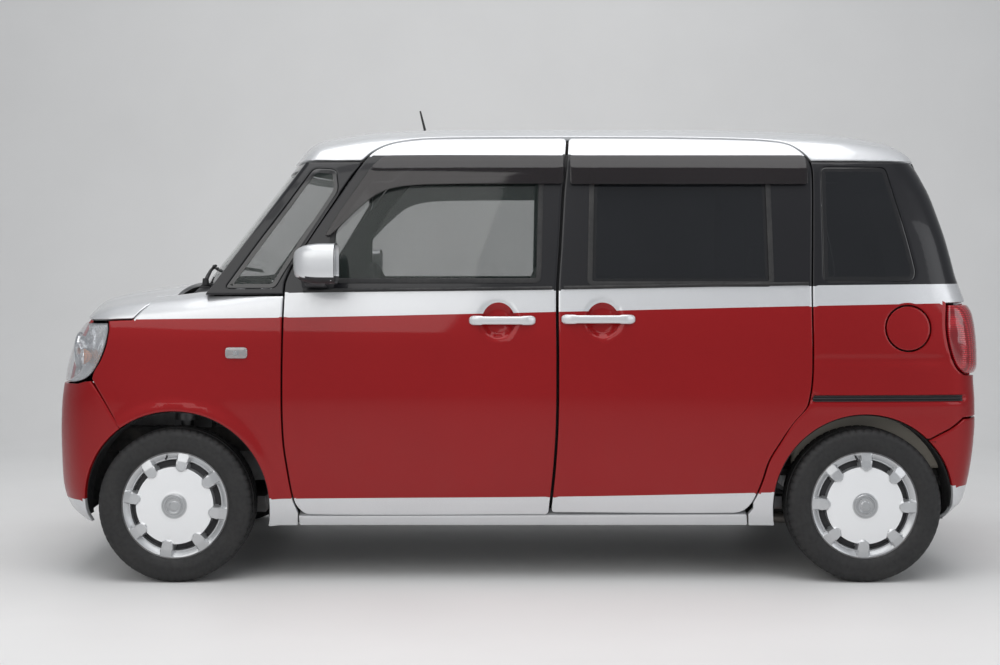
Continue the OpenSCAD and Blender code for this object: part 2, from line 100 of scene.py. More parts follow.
# half width by height; sides narrow towards both ends
WC = Curve(mm([(100, 640), (196, 676), (240, 699), (300, 715.5), (450, 731), (650, 737), (850, 733.5),
               (950, 724.5), (1000, 716.5), (1060, 706), (1200, 684), (1400, 648.5), (1500, 627.5),
               (1556, 605), (1592, 563), (1618, 499), (1640, 398), (1652, 215), (1655.5, 0)]))
NC = Curve(mm([(-1720, 140), (-1632, 112), (-1590, 84), (-1540, 56), (-1460, 29), (-1330, 11), (-1150, 1.5),
               (-950, 0), (900, 0), (1200, 3), (1400, 10), (1520, 20), (1600, 29), (1660, 40), (1720, 54)]))
FC = Curve(mm([(150, -1580), (196, -1606), (217, -1633), (243, -1659), (290, -1680), (343, -1690),
               (460, -1695.5), (526, -1697), (620, -1694), (690, -1686), (727, -1678), (774, -1666),
               (850, -1643), (929, -1615), (965, -1602), (1010, -1585), (1100, -1550)]))
RC = Curve(mm([(150, 1560), (196, 1582), (239, 1616), (269, 1648), (330, 1667), (402, 1681), (478, 1691),
               (560, 1696.5), (640, 1696), (720, 1691), (800, 1690), (900, 1684), (997, 1662), (1031, 1651),
               (1089, 1630), (1147, 1616), (1225, 1596), (1302, 1572), (1389, 1543), (1443, 1518),
               (1497, 1495), (1530, 1484), (1570, 1466), (1620, 1430), (1700, 1330)]))
TR = Curve(mm([(-900, 1500), (-830, 1548), (-780, 1588), (-740, 1604), (-680, 1618), (-616, 1630),
               (-536, 1642), (-424, 1650), (-270, 1654), (0, 1655.5), (594, 1655.5), (873, 1651),
               (1050, 1645), (1200, 1636), (1300, 1624), (1378, 1611), (1443, 1596), (1500, 1574), (1600, 1530)]))
TB = Curve(mm([(-1720, 905), (-1660, 935), (-1620, 960), (-1585, 983), (-1545, 1003), (-1491, 1021),
               (-1400, 1041), (-1320, 1053), (-1240, 1062), (-1190, 1068), (-1050, 1086)]))
BC = Curve(mm([(0, 0), (200, 2), (350, 8), (480, 20), (560, 33), (620, 46), (680, 62), (740, 84), (900, 140)]))
BW = Curve(mm([(0, 0), (150, 4), (300, 18), (420, 37), (520, 60), (600, 84), (660, 105), (760, 145)]))
WSN = (-math.sin(math.radians(52.2)), math.cos(math.radians(52.2)))


def smax(a, b, k):
    h = np.maximum(k - np.abs(a - b), 0) / k
    return np.maximum(a, b) + h * h * k * 0.25


def d_side(p):
    x, y, z = np.abs(p[:, 0]), p[:, 1], p[:, 2]
    ramp = np.clip((z - 1.22) / 0.25, 0, 1)
    zz = z + ramp * ramp * (3 - 2 * ramp) * (1.6555 - TR(y))
    w = WC(zz)
    g = np.clip((WC(zz + 0.002) - w) / 0.002, -40, 40)
    out = (x - (w - NC(y))) / np.sqrt(1 + g * g)
    return np.where(zz > 1.6555, np.maximum(out, zz - 1.6555), out)


def d_front(p):
    x = np.abs(p[:, 0])
    f = FC(p[:, 2]) + 0.057 * (x / 0.6) ** 3
    s = 0.285 * (x / 0.6) ** 2
    g = (FC(p[:, 2] + 0.002) - FC(p[:, 2])) / 0.002
    return (f - p[:, 1]) / np.sqrt(1 + s * s + g * g)


def d_rear(p):
    x = np.abs(p[:, 0])
    f = RC(p[:, 2]) - 0.022 * (x / 0.65) ** 4
    g = (RC(p[:, 2] + 0.002) - RC(p[:, 2])) / 0.002
    return (p[:, 1] - f) / np.sqrt(1 + g * g)


def d_bonnet(p):
    g = (TB(p[:, 1] + 0.002) - TB(p[:, 1])) / 0.002
    return (p[:, 2] - (TB(p[:, 1]) - BC(np.abs(p[:, 0])))) / np.sqrt(1 + g * g)


def d_screen(p):
    return (p[:, 1] + 1.190) * WSN[0] + (p[:, 2] - 1.068) * WSN[1] + BW(np.abs(p[:, 0]))


def f_side(p):
    return d_side(p)


def f_low(p):
    return smax(smax(d_side(p), d_bonnet(p), 0.045), d_front(p), 0.085)


def f_tail(p):
    return smax(d_side(p), d_rear(p), 0.09)


def f_roof(p):
    return smax(smax(d_side(p), d_screen(p) - 0.004, 0.03), d_rear(p), 0.05)


def f_screen(p):
    return d_screen(p)


def normals(f, p):
    e = 0.0015
    g = np.zeros_like(p)
    for i in range(3):
        d = np.zeros(3)
        d[i] = e
        g[:, i] = f(p + d) - f(p - d)
    return g / np.maximum(np.linalg.norm(g, axis=1), 1e-9)[:, None]


def shoot(f, o, d, far, steps=60):
    """From outside points o, along d, to where f changes sign."""
    n = len(o)
    t = np.linspace(0, far, steps)
    lo, hi = np.zeros(n), np.full(n, far)
    found = np.zeros(n, bool)
    prev = np.zeros(n)
    for k in range(1, steps):
        v = f(o + d * t[k])
        new = (~found) & (v <= 0)
        lo[new], hi[new] = t[k - 1], t[k]
        found |= new
    for _ in range(24):
        m = (lo + hi) / 2
        v = f(o + d * m[:, None])
        inside = v <= 0
        hi = np.where(inside, m, hi)
        lo = np.where(inside, lo, m)
    return o + d * ((lo + hi) / 2)[:, None]


# maps: 2-D panel coordinates to the surface (left half)
def map_side(f):
    def go(q):
        o = np.column_stack([np.full(len(q), 0.92), q[:, 0], q[:, 1]])
        return shoot(f, o, np.array([-1.0, 0, 0]), 0.9)
    return go


def map_top(f, z0=1.75):
    def go(q):
        o = np.column_stack([q[:, 0], q[:, 1], np.full(len(q), z0)])
        return shoot(f, o, np.array([0, 0, -1.0]), 1.2)
    return go


def map_front(f):
    def go(q):
        o = np.column_stack([q[:, 0], np.full(len(q), -1.85), q[:, 1]])
        return shoot(f, o, np.array([0, 1.0, 0]), 1.2)
    return go


def map_back(f):
    def go(q):
        o = np.column_stack([q[:, 0], np.full(len(q), 1.85), q[:, 1]])
        return shoot(f, o, np.array([0, -1.0, 0]), 1.2)
    return go


def map_wrap(f, cy, sgn, r0=1.3):
    """Panel coordinates (arc, z): arc is metres along a circle of radius 0.6 from the side direction to the end."""
    def go(q):
        a = q[:, 0] / 0.6
        d = np.column_stack([np.cos(a), sgn * np.sin(a), np.zeros(len(q))])
        c = np.column_stack([np.zeros(len(q)), np.full(len(q), cy), q[:, 1]])
        o = c + d * r0
        n = len(q)
        t = np.linspace(0, r0 - 0.05, 80)
        lo, hi = np.zeros(n), np.full(n, r0 - 0.05)
        found = np.zeros(n, bool)
        for k in range(1, 80):
            v = f(o - d * t[k])
            new = (~found) & (v <= 0)
            lo[new], hi[new] = t[k - 1], t[k]
            found |= new
        for _ in range(24):
            m = (lo + hi) / 2
            ins = f(o - d * m[:, None]) <= 0
            hi = np.where(ins, m, hi)
            lo = np.where(ins, lo, m)
        return o - d * ((lo + hi) / 2)[:, None]
    return go


def wrap_of(p, cy, sgn):
    """3-D points to the wrap's panel coordinates."""
    p = np.asarray(p, float)
    return np.column_stack([0.6 * np.arctan2(sgn * (p[:, 1] - cy), p[:, 0]), p[:, 2]])


# ------------------------------------------------------------------ outlines
def turn(a, b, c):
    u, v = b - a, c - b
    return abs(math.degrees(math.atan2(u[0] * v[1] - u[1] * v[0], u @ v)))


def outline(pts, r=0.012, step=0.009, corner=30, unit=0.001, closed=True):
    """A smooth closed outline: gentle vertices become a spline, sharp ones a fillet of radius r."""
    p = np.array(pts, float) * unit
    n = len(p)
    sharp = [turn(p[i - 1], p[i], p[(i + 1) % n]) > corner for i in range(n)]
    if not any(sharp):
        sharp[0] = False
    out = []
    for i in range(n):
        a, b = p[i], p[(i + 1) % n]
        L = np.linalg.norm(b - a)
        m = max(int(L / step), 1)
        ta = (b - p[i - 1]) / max(np.linalg.norm(b - p[i - 1]), 1e-9) * L if not sharp[i] else (b - a)
        c = p[(i + 2) % n]
        tb = (c - a) / max(np.linalg.norm(c - a), 1e-9) * L if not sharp[(i + 1) % n] else (b - a)
        for k in range(m):
            t = k / m
            out.append((2 * t**3 - 3 * t**2 + 1) * a + (t**3 - 2 * t**2 + t) * ta
                       + (-2 * t**3 + 3 * t**2) * b + (t**3 - t**2) * tb)
    out = np.array(out)
    idx = [int(np.argmin(np.linalg.norm(out - p[i], axis=1))) for i in range(n) if sharp[i]]
    if r > 0:
        s = np.concatenate([[0], np.cumsum(np.linalg.norm(np.diff(np.vstack([out, out[:1]]), axis=0), axis=1))])
        total = s[-1]
        closedp = np.vstack([out, out[:1]])

        def at(v):
            v = v % total
            return np.array([np.interp(v, s, closedp[:, 0]), np.interp(v, s, closedp[:, 1])])
        arcs = []
        cs = [s[i] for i in idx]
        for j, c0 in enumerate(cs):
            prev = (c0 - cs[j - 1]) % total if len(cs) > 1 else total
            nxt = (cs[(j + 1) % len(cs)] - c0) % total if len(cs) > 1 else total
            rr = min(r, prev * 0.45, nxt * 0.45)
            A, B, C = at(c0 - rr), at(c0), at(c0 + rr)
            arcs.append((c0, rr, [(1 - t) ** 2 * A + 2 * t * (1 - t) * B + t * t * C for t in np.linspace(0, 1, 7)]))
        keep = []
        for k in range(len(out)):
            sk = s[k]
            if not any(min((sk - c0) % total, (c0 - sk) % total) < rr for c0, rr, _ in arcs):
                keep.append((sk, out[k]))
        for c0, rr, a in arcs:
            for t, q in zip(np.linspace(-rr, rr, 7), a):
                keep.append(((c0 + t) % total, q))
        keep.sort(key=lambda z: z[0])
        out = np.array([q for _, q in keep])
    d = np.linalg.norm(out - np.roll(out, 1, axis=0), axis=1)
    out = out[d > 1e-4]
    area = 0.5 * np.sum(out[:, 0] * np.roll(out[:, 1], -1) - np.roll(out[:, 0], -1) * out[:, 1])
    return out if area > 0 else out[::-1].copy()


def inside(poly, q):
    x, y = q[:, 0][:, None], q[:, 1][:, None]
    x1, y1 = poly[:, 0][None], poly[:, 1][None]
    x2, y2 = np.roll(poly[:, 0], -1)[None], np.roll(poly[:, 1], -1)[None]
    c = ((y1 > y) != (y2 > y)) & (x < (x2 - x1) * (y - y1) / np.where(np.abs(y2 - y1) < 1e-12, 1e-12, y2 - y1) + x1)
    return c.sum(1) % 2 == 1


def edge_distance(poly, q):
    a, b = poly, np.roll(poly, -1, axis=0)
    out = np.full(len(q), 1e9)
    for k in range(0, len(q), 4000):
        s = q[k:k + 4000][:, None]
        ab = (b - a)[None]
        t = np.clip(((s - a[None]) * ab).sum(2) / np.maximum((ab**2).sum(2), 1e-12), 0, 1)
        out[k:k + 4000] = np.linalg.norm(s - a[None] - t[..., None] * ab, axis=2).min(1)
    return out


def push(poly, d):
    """Moves a counter-clockwise outline inwards by d."""
    e1 = poly - np.roll(poly, 1, axis=0)
    e2 = np.roll(poly, -1, axis=0) - poly
    e1 /= np.maximum(np.linalg.norm(e1, axis=1), 1e-9)[:, None]
    e2 /= np.maximum(np.linalg.norm(e2, axis=1), 1e-9)[:, None]
    n = np.column_stack([-(e1[:, 1] + e2[:, 1]), e1[:, 0] + e2[:, 0]])
    ln = np.linalg.norm(n, axis=1)
    n /= np.maximum(ln, 1e-9)[:, None]
    c = np.clip(ln / 2, 0.45, 1)
    return poly + n * (d / c)[:, None]


def cut_line(poly, a, b):
    """Keeps the part of a polygon left of the line a to b."""
    a, b = np.array(a, float), np.array(b, float)
    n = np.array([-(b - a)[1], (b - a)[0]])
    out = []
    m = len(poly)
    for i in range(m):
        p, q = poly[i], poly[(i + 1) % m]
        sp, sq = (p - a) @ n, (q - a) @ n
        if sp >= 0:
            out.append(p)
        if (sp > 0) != (sq > 0) and abs(sp - sq) > 1e-12:
            out.append(p + (q - p) * sp / (sp - sq))
    return np.array(out)


# ------------------------------------------------------------------ mesh builder
MATS = {}


def mesh_object(name, verts, faces, mats, fmat=None, smooth=38, body=None):
    me = bpy.data.meshes.new(name)
    me.from_pydata([tuple(v) for v in verts], [], [tuple(int(i) for i in f) for f in faces])
    me.validate(clean_customdata=False)
    me.update()
    ob = bpy.data.objects.new(name, me)
    bpy.context.scene.collection.objects.link(ob)
    for m in mats:
        me.materials.append(MATS[m])
    if fmat is not None and len(fmat) == len(me.polygons):
        me.polygons.foreach_set("material_index", np.asarray(fmat, np.int32))
    me.polygons.foreach_set("use_smooth", np.ones(len(me.polygons), bool))
    if smooth:
        me.set_sharp_from_angle(angle=math.radians(smooth))
    me.update()
    if body:
        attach(ob, body)
    return ob


def panel(name, polys, mapping, f, mats, pick=None, lines=(), thick=0.016, roll=0.0025, grid=0.022,
          body="body", mirror=True, holes=(), back=True, offset=0.0, bump=None, centre=False, both=True):
    """Sheet-metal panel: 2-D outlines laid on the surface, rolled edges, real thickness."""
    V, F, M = [], [], []
    base = 0
    for poly in polys:
        loops = [poly] + [h for h in holes if inside(poly, h[:1])[0] or inside(poly, h.mean(0)[None])[0]]
        rings_in = []
        for j, lp in enumerate(loops):
            s = 1 if j == 0 else -1
            rings_in.append(push(lp, s * 3.2 * roll))
        lo, hi = rings_in[0].min(0), rings_in[0].max(0)
        gx = np.arange(lo[0] + grid / 2, hi[0], grid)
        gy = np.arange(lo[1] + grid / 2, hi[1], grid)
        G = np.array(np.meshgrid(gx, gy)).reshape(2, -1).T
        G[:, 0] += np.where((np.round((G[:, 1] - lo[1]) / grid).astype(int) % 2) == 0, 0, grid / 2)
        ok = inside(rings_in[0], G)
        G = G[ok]
        if len(G):
            ok = edge_distance(rings_in[0], G) > grid * 0.45
            for h in rings_in[1:]:
                ok &= ~inside(h, G)
                ok &= edge_distance(h, G) > grid * 0.45
            G = G[ok]
        pts, edges = [], []
        k = 0
        for r in rings_in:
            m = len(r)
            pts += [tuple(q) for q in r]
            edges += [(k + i, k + (i + 1) % m) for i in range(m)]
            k += m
        nb = k
        for ln in lines:
            ln = np.array(ln, float) / 1000
            dense = []
            for i in range(len(ln) - 1):
                L = np.linalg.norm(ln[i + 1] - ln[i])
                dense += [ln[i] + (ln[i + 1] - ln[i]) * t for t in np.linspace(0, 1, max(int(L / 0.012), 2), endpoint=False)]
            dense.append(ln[-1])
            dense = np.array(dense)
            ok = inside(rings_in[0], dense)
            for h in rings_in[1:]:
                ok &= ~inside(h, dense)
            if len(G):
                dd = np.full(len(G), 1e9)
                for i in range(len(dense) - 1):
                    a, b = dense[i], dense[i + 1]
                    ab = b - a
                    t = np.clip(((G - a) @ ab) / max(ab @ ab, 1e-12), 0, 1)
                    dd = np.minimum(dd, np.linalg.norm(G - a - t[:, None] * ab, axis=1))
                G = G[dd > grid * 0.3]
            last = None
            for i, q in enumerate(dense):
                if ok[i]:
                    pts.append(tuple(q))
                    if last is not None:
                        edges.append((last, k))
                    last = k
                    k += 1
                else:
                    last = None
        pts += [tuple(q) for q in G]
        res = delaunay_2d_cdt([Vector(q) for q in pts], edges, [], 0, 1e-6, True)
        P2 = np.array([tuple(v) for v in res[0]])
        T = np.array([t for t in res[2] if len(t) == 3])
        c = P2[T].mean(1)
        ok = inside(rings_in[0], c)
        for h in rings_in[1:]:
            ok &= ~inside(h, c)
        T = T[ok]
        # where did the ring vertices go
        orig = {}
        for i, src in enumerate(res[3]):
            for s_ in src:
                orig[s_] = i
        S = mapping(P2)
        N = normals(f, S)
        if offset:
            S = S + N * offset
        if bump is not None:
            S = S - N * bump(P2, S)[:, None]
        nP = len(P2)
        VV = [S]
        ids = list(range(nP))
        FF = [tuple(t) for t in T]
        FM = list(range(len(T)))
        cent = [tuple(q) for q in P2[T].mean(1)]
        cur = nP
        backring = []
        k0 = 0
        for j, lp in enumerate(loops):
            m = len(lp)
            s = 1 if j == 0 else -1
            first = [orig[k0 + i] for i in range(m)]
            k0 += m
            prev = first
            for inset, depth in ((1.0, 0.0), (0.3, 0.3), (0.0, 1.0), (0.0, None)):
                q2 = push(lp, s * inset * roll)
                q3 = mapping(q2)
                n3 = normals(f, q3)
                dep = thick if depth is None else depth * roll
                if offset:
                    q3 = q3 + n3 * offset
                if bump is not None:
                    q3 = q3 - n3 * bump(q2, q3)[:, None]
                q3 = q3 - n3 * dep
                VV.append(q3)
                now = list(range(cur, cur + m))
                cur += m
                for i in range(m):
                    i2 = (i + 1) % m
                    quad = (prev[i2], prev[i], now[i], now[i2]) if s == 1 else (prev[i2], prev[i], now[i], now[i2])
                    FF.append(quad)
                    cent.append(tuple((lp[i] + lp[i2]) / 2))
                prev = now
            backring.append((first, prev))
        back_from = len(FF)
        if back:
            Sb = S - N * thick
            VV.append(Sb)
            off = cur
            cur += nP
            for t in T:
                FF.append((off + t[2], off + t[1], off + t[0]))
                cent.append(tuple(P2[list(t)].mean(0)))
            for first, last in backring:
                m = len(first)
                for i in range(m):
                    i2 = (i + 1) % m
                    FF.append((last[i2], last[i], off + first[i], off + first[i2]))
                    cent.append(tuple(P2[first[i]]))
        VV = np.vstack(VV)
        V.append(VV)
        cent = np.array(cent)
        pm = np.zeros(len(FF), int) if pick is None else np.asarray(pick(cent), int)
        if back and mats[0] in ("red", "silver", "black"):
            pm[back_from:] = len(mats)
        F += [tuple(base + i for i in fc) for fc in FF]
        M += list(pm)
        base += len(VV)
    if back and mats[0] in ("red", "silver", "black"):
        mats = list(mats) + ["trim"]
    V = np.vstack(V)
    obs = []
    # face winding: outward where it should be
    tri = next(fc for fc in F if len(fc) == 3)
    a, b, c = V[tri[0]], V[tri[1]], V[tri[2]]
    nn = np.cross(b - a, c - a)
    gg = normals(f, ((a + b + c) / 3)[None])[0]
    if nn @ gg < 0:
        F = [fc[::-1] for fc in F]
    if mirror == "join":
        n = len(V)
        V2 = V * np.array([-1, 1, 1])
        V = np.vstack([V, V2])
        F = F + [tuple(n + i for i in fc[::-1]) for fc in F]
        M = M + M
        return [mesh_object(name, V, F, mats, M, body=body)]
    if mirror is True:
        bl = body if isinstance(body, tuple) else (body, body)
        nm = name if isinstance(name, tuple) else ("left_" + name, "right_" + name)
        obs.append(mesh_object(nm[0], V, F, mats, M, body=bl[0]))
        obs.append(mesh_object(nm[1], V * np.array([-1, 1, 1]), [fc[::-1] for fc in F], mats, M, body=bl[1]))
        return obs
    return [mesh_object(name, V, F, mats, M, body=body)]


# ------------------------------------------------------------------ materials
class N:
    """Small helper to wire a node material."""

    def __init__(self, name, color=(0.5, 0.5, 0.5), rough=0.5, metal=0.0, **kw):
        m = bpy.data.materials.new(name)
        m.use_nodes = True
        self.m, self.t = m, m.node_tree
        self.b = self.t.nodes["Principled BSDF"]
        self.out = self.t.nodes["Material Output"]
        self.b.inputs["Base Color"].default_value = (*color, 1)
        self.b.inputs["Roughness"].default_value = rough
        self.b.inputs["Metallic"].default_value = metal
        for k, v in kw.items():
            self.b.inputs[k].default_value = v
        m.diffuse_color = (*color, 1)
        self.tc = self.t.nodes.new("ShaderNodeTexCoord")
        MATS[name] = m

    def add(self, kind, **kw):
        n = self.t.nodes.new(kind)
        for k, v in kw.items():
            if k in n.inputs:
                n.inputs[k].default_value = v
            else:
                setattr(n, k, v)
        return n

    def link(self, a, b):
        self.t.links.new(a, b)

    def noise(self, scale, detail=3, rough=0.5, vec=None):
        n = self.add("ShaderNodeTexNoise")
        n.inputs["Scale"].default_value = scale
        n.inputs["Detail"].default_value = detail
        n.inputs["Roughness"].default_value = rough
        self.link(vec or self.tc.outputs["Object"], n.inputs["Vector"])
        return n.outputs["Fac"]

    def voro(self, scale, feature="F1", out="Distance", vec=None):
        n = self.add("ShaderNodeTexVoronoi")
        n.feature = feature
        n.inputs["Scale"].default_value = scale
        self.link(vec or self.tc.outputs["Object"], n.inputs["Vector"])
        return n.outputs[out]

    def ramp(self, src, stops):
        n = self.add("ShaderNodeValToRGB")
        e = n.color_ramp.elements
        while len(e) < len(stops):
            e.new(0.5)
        for i, (p, c) in enumerate(stops):
            e[i].position = p
            e[i].color = c if len(c) == 4 else (*c, 1)
        self.link(src, n.inputs["Fac"])
        return n.outputs["Color"]

    def map(self, src, a, b, c, d):
        n = self.add("ShaderNodeMapRange")
        n.inputs["From Min"].default_value = a
        n.inputs["From Max"].default_value = b
        n.inputs["To Min"].default_value = c
        n.inputs["To Max"].default_value = d
        self.link(src, n.inputs["Value"])
        return n.outputs["Result"]

    def bump(self, src, strength=0.2, dist=0.001, normal=None):
        n = self.add("ShaderNodeBump")
        n.inputs["Strength"].default_value = strength
        n.inputs["Distance"].default_value = dist
        self.link(src, n.inputs["Height"])
        if normal:
            self.link(normal, n.inputs["Normal"])
        return n.outputs["Normal"]

    def mix(self, fac, a, b):
        n = self.add("ShaderNodeMix")
        n.data_type = "RGBA"
        ins = [s for s in n.inputs if s.type == "RGBA"]
        f = n.inputs[0]
        if isinstance(fac, (int, float)):
            f.default_value = fac
        else:
            self.link(fac, f)
        for s, v in zip(ins, (a, b)):
            if isinstance(v, tuple):
                s.default_value = (*v, 1)
            else:
                self.link(v, s)
        return [o for o in n.outputs if o.type == "RGBA"][0]

    def math(self, op, a, b=0.0):
        n = self.add("ShaderNodeMath", operation=op)
        for s, v in zip(n.inputs, (a, b)):
            if isinstance(v, (int, float)):
                s.default_value = v
            else:
                self.link(v, s)
        return n.outputs[0]

    def z(self, axis="Z", space="Object"):
        s = self.add("ShaderNodeSeparateXYZ")
        self.link(self.tc.outputs[space], s.inputs[0])
        return s.outputs[axis]

    def to(self, sock, name):
        self.link(sock, self.b.inputs[name])


def paint(name, base, dark, light, flake, metal, rough, coat=1.0, dirt=True, spec=0.5):
    n = N(name, base, rough, metal)
    b = n.b
    b.inputs["Specular IOR Level"].default_value = spec
    b.inputs["Coat Weight"].default_value = coat
    b.inputs["Coat Roughness"].default_value = 0.035
    b.inputs["Coat IOR"].default_value = 1.5
    fl = n.voro(2600, out="Color")
    sep = n.add("ShaderNodeSeparateColor")
    n.link(fl, sep.inputs[0])
    sp = n.map(sep.outputs[0], 0.0, 1.0, 0.0, 1.0)
    col = n.mix(n.map(sp, 0.72, 1.0, 0.0, flake), base, light)
    cloud = n.noise(2.2, 2)
    col = n.mix(n.map(cloud, 0.35, 0.7, 0.0, 0.16), col, dark)
    if dirt:  # thin road film low down
        zz = n.z()
        low = n.map(zz, 0.24, 0.62, 1.0, 0.0)
        film = n.math("MULTIPLY", low, n.map(n.noise(5, 3, 0.5), 0.35, 0.75, 0.0, 0.035))
        col = n.mix(film, col, (0.22, 0.19, 0.16))
        ro = n.math("ADD", n.math("MULTIPLY", film, 0.9), n.map(n.noise(60, 3), 0.3, 0.7, rough - 0.03, rough + 0.03))
        n.to(ro, "Roughness")
    n.to(col, "Base Color")
    # tiny flake tilt, then faint orange peel in the coat
    nm = n.bump(sp, 0.05, 0.0004)
    n.to(nm, "Normal")
    pe = n.bump(n.noise(260, 2), 0.035, 0.0006)
    n.to(pe, "Coat Normal")
    return n


def plastic(name, base, rough=0.5, grain=900, bump=0.25, wear=0.12, metal=0.0, **kw):
    n = N(name, base, rough, metal, **kw)
    v = n.voro(grain)
    c = n.mix(n.map(n.noise(7, 4), 0.35, 0.75, 0.0, wear), base, tuple(min(1, x * 1.9 + 0.02) for x in base))
    n.to(c, "Base Color")
    n.to(n.map(n.noise(35, 4), 0.3, 0.7, rough - 0.07, rough + 0.09), "Roughness")
    n.to(n.bump(v, bump, 0.0004), "Normal")
    return n


def glass(name, tint, alpha, rough=0.02):
    n = N(name, tint, rough)
    b = n.b
    b.inputs["IOR"].default_value = 1.5
    b.inputs["Specular IOR Level"].default_value = 0.6
    a = n.map(n.noise(4, 3), 0.3, 0.7, alpha - 0.008, alpha + 0.008)
    n.to(a, "Alpha")
    n.to(n.mix(n.map(n.noise(3, 2), 0.3, 0.7, 0.0, 1.0), tint, tuple(x * 1.12 + 0.001 for x in tint)), "Base Color")
    n.to(n.map(n.noise(6, 4), 0.3, 0.7, rough, rough + 0.02), "Roughness")
    n.m.surface_render_method = "DITHERED" if hasattr(n.m, "surface_render_method") else None
    n.m.diffuse_color = (*tint, 0.4)
    return n


def cloth(name, a, b, scale=420, stripe=False):
    n = N(name, a, 0.85)
    n.b.inputs["Sheen Weight"].default_value = 0.35
    n.b.inputs["Sheen Roughness"].default_value = 0.5
    w1 = n.add("ShaderNodeTexWave", bands_direction="X")
    w1.inputs["Scale"].default_value = scale
    w2 = n.add("ShaderNodeTexWave", bands_direction="Z")
    w2.inputs["Scale"].default_value = scale
    w3 = n.add("ShaderNodeTexWave", bands_direction="Y")
    w3.inputs["Scale"].default_value = scale
    for w in (w1, w2, w3):
        n.link(n.tc.outputs["Object"], w.inputs["Vector"])
    h = n.math("MULTIPLY", n.math("MAXIMUM", w1.outputs["Fac"], w2.outputs["Fac"]), w3.outputs["Fac"])
    col = n.mix(h, b, a)
    col = n.mix(n.map(n.noise(6, 3), 0.35, 0.75, 0, 0.25), col, tuple(x * 0.75 for x in a))
    n.to(col, "Base Color")
    n.to(n.bump(h, 0.4, 0.0006), "Normal")
    return n


def rubbery(name, base=(0.022, 0.022, 0.024), rough=0.72, dust=0.3):
    n = N(name, base, rough)
    d = n.map(n.noise(9, 6, 0.6), 0.42, 0.8, 0.0, dust)
    n.to(n.mix(d, base, (0.16, 0.15, 0.135)), "Base Color")
    n.to(n.map(n.noise(70, 4), 0.3, 0.7, rough - 0.1, rough + 0.12), "Roughness")
    n.to(n.bump(n.noise(500, 3), 0.25, 0.0004), "Normal")
    return n


def under(name, base, rust=0.0, rough=0.55, metal=0.3):
    n = N(name, base, rough, metal)
    c = n.mix(n.map(n.noise(11, 6, 0.65), 0.42, 0.75, 0.0, 0.55), base, (0.17, 0.15, 0.13))
    if rust:
        c = n.mix(n.map(n.noise(26, 8, 0.7), 0.60, 0.72, 0.0, rust), c, (0.21, 0.085, 0.035))
    n.to(c, "Base Color")
    n.to(n.map(n.noise(40, 5), 0.3, 0.7, rough - 0.15, rough + 0.2), "Roughness")
    n.to(n.bump(n.noise(180, 5), 0.35, 0.0008), "Normal")
    return n


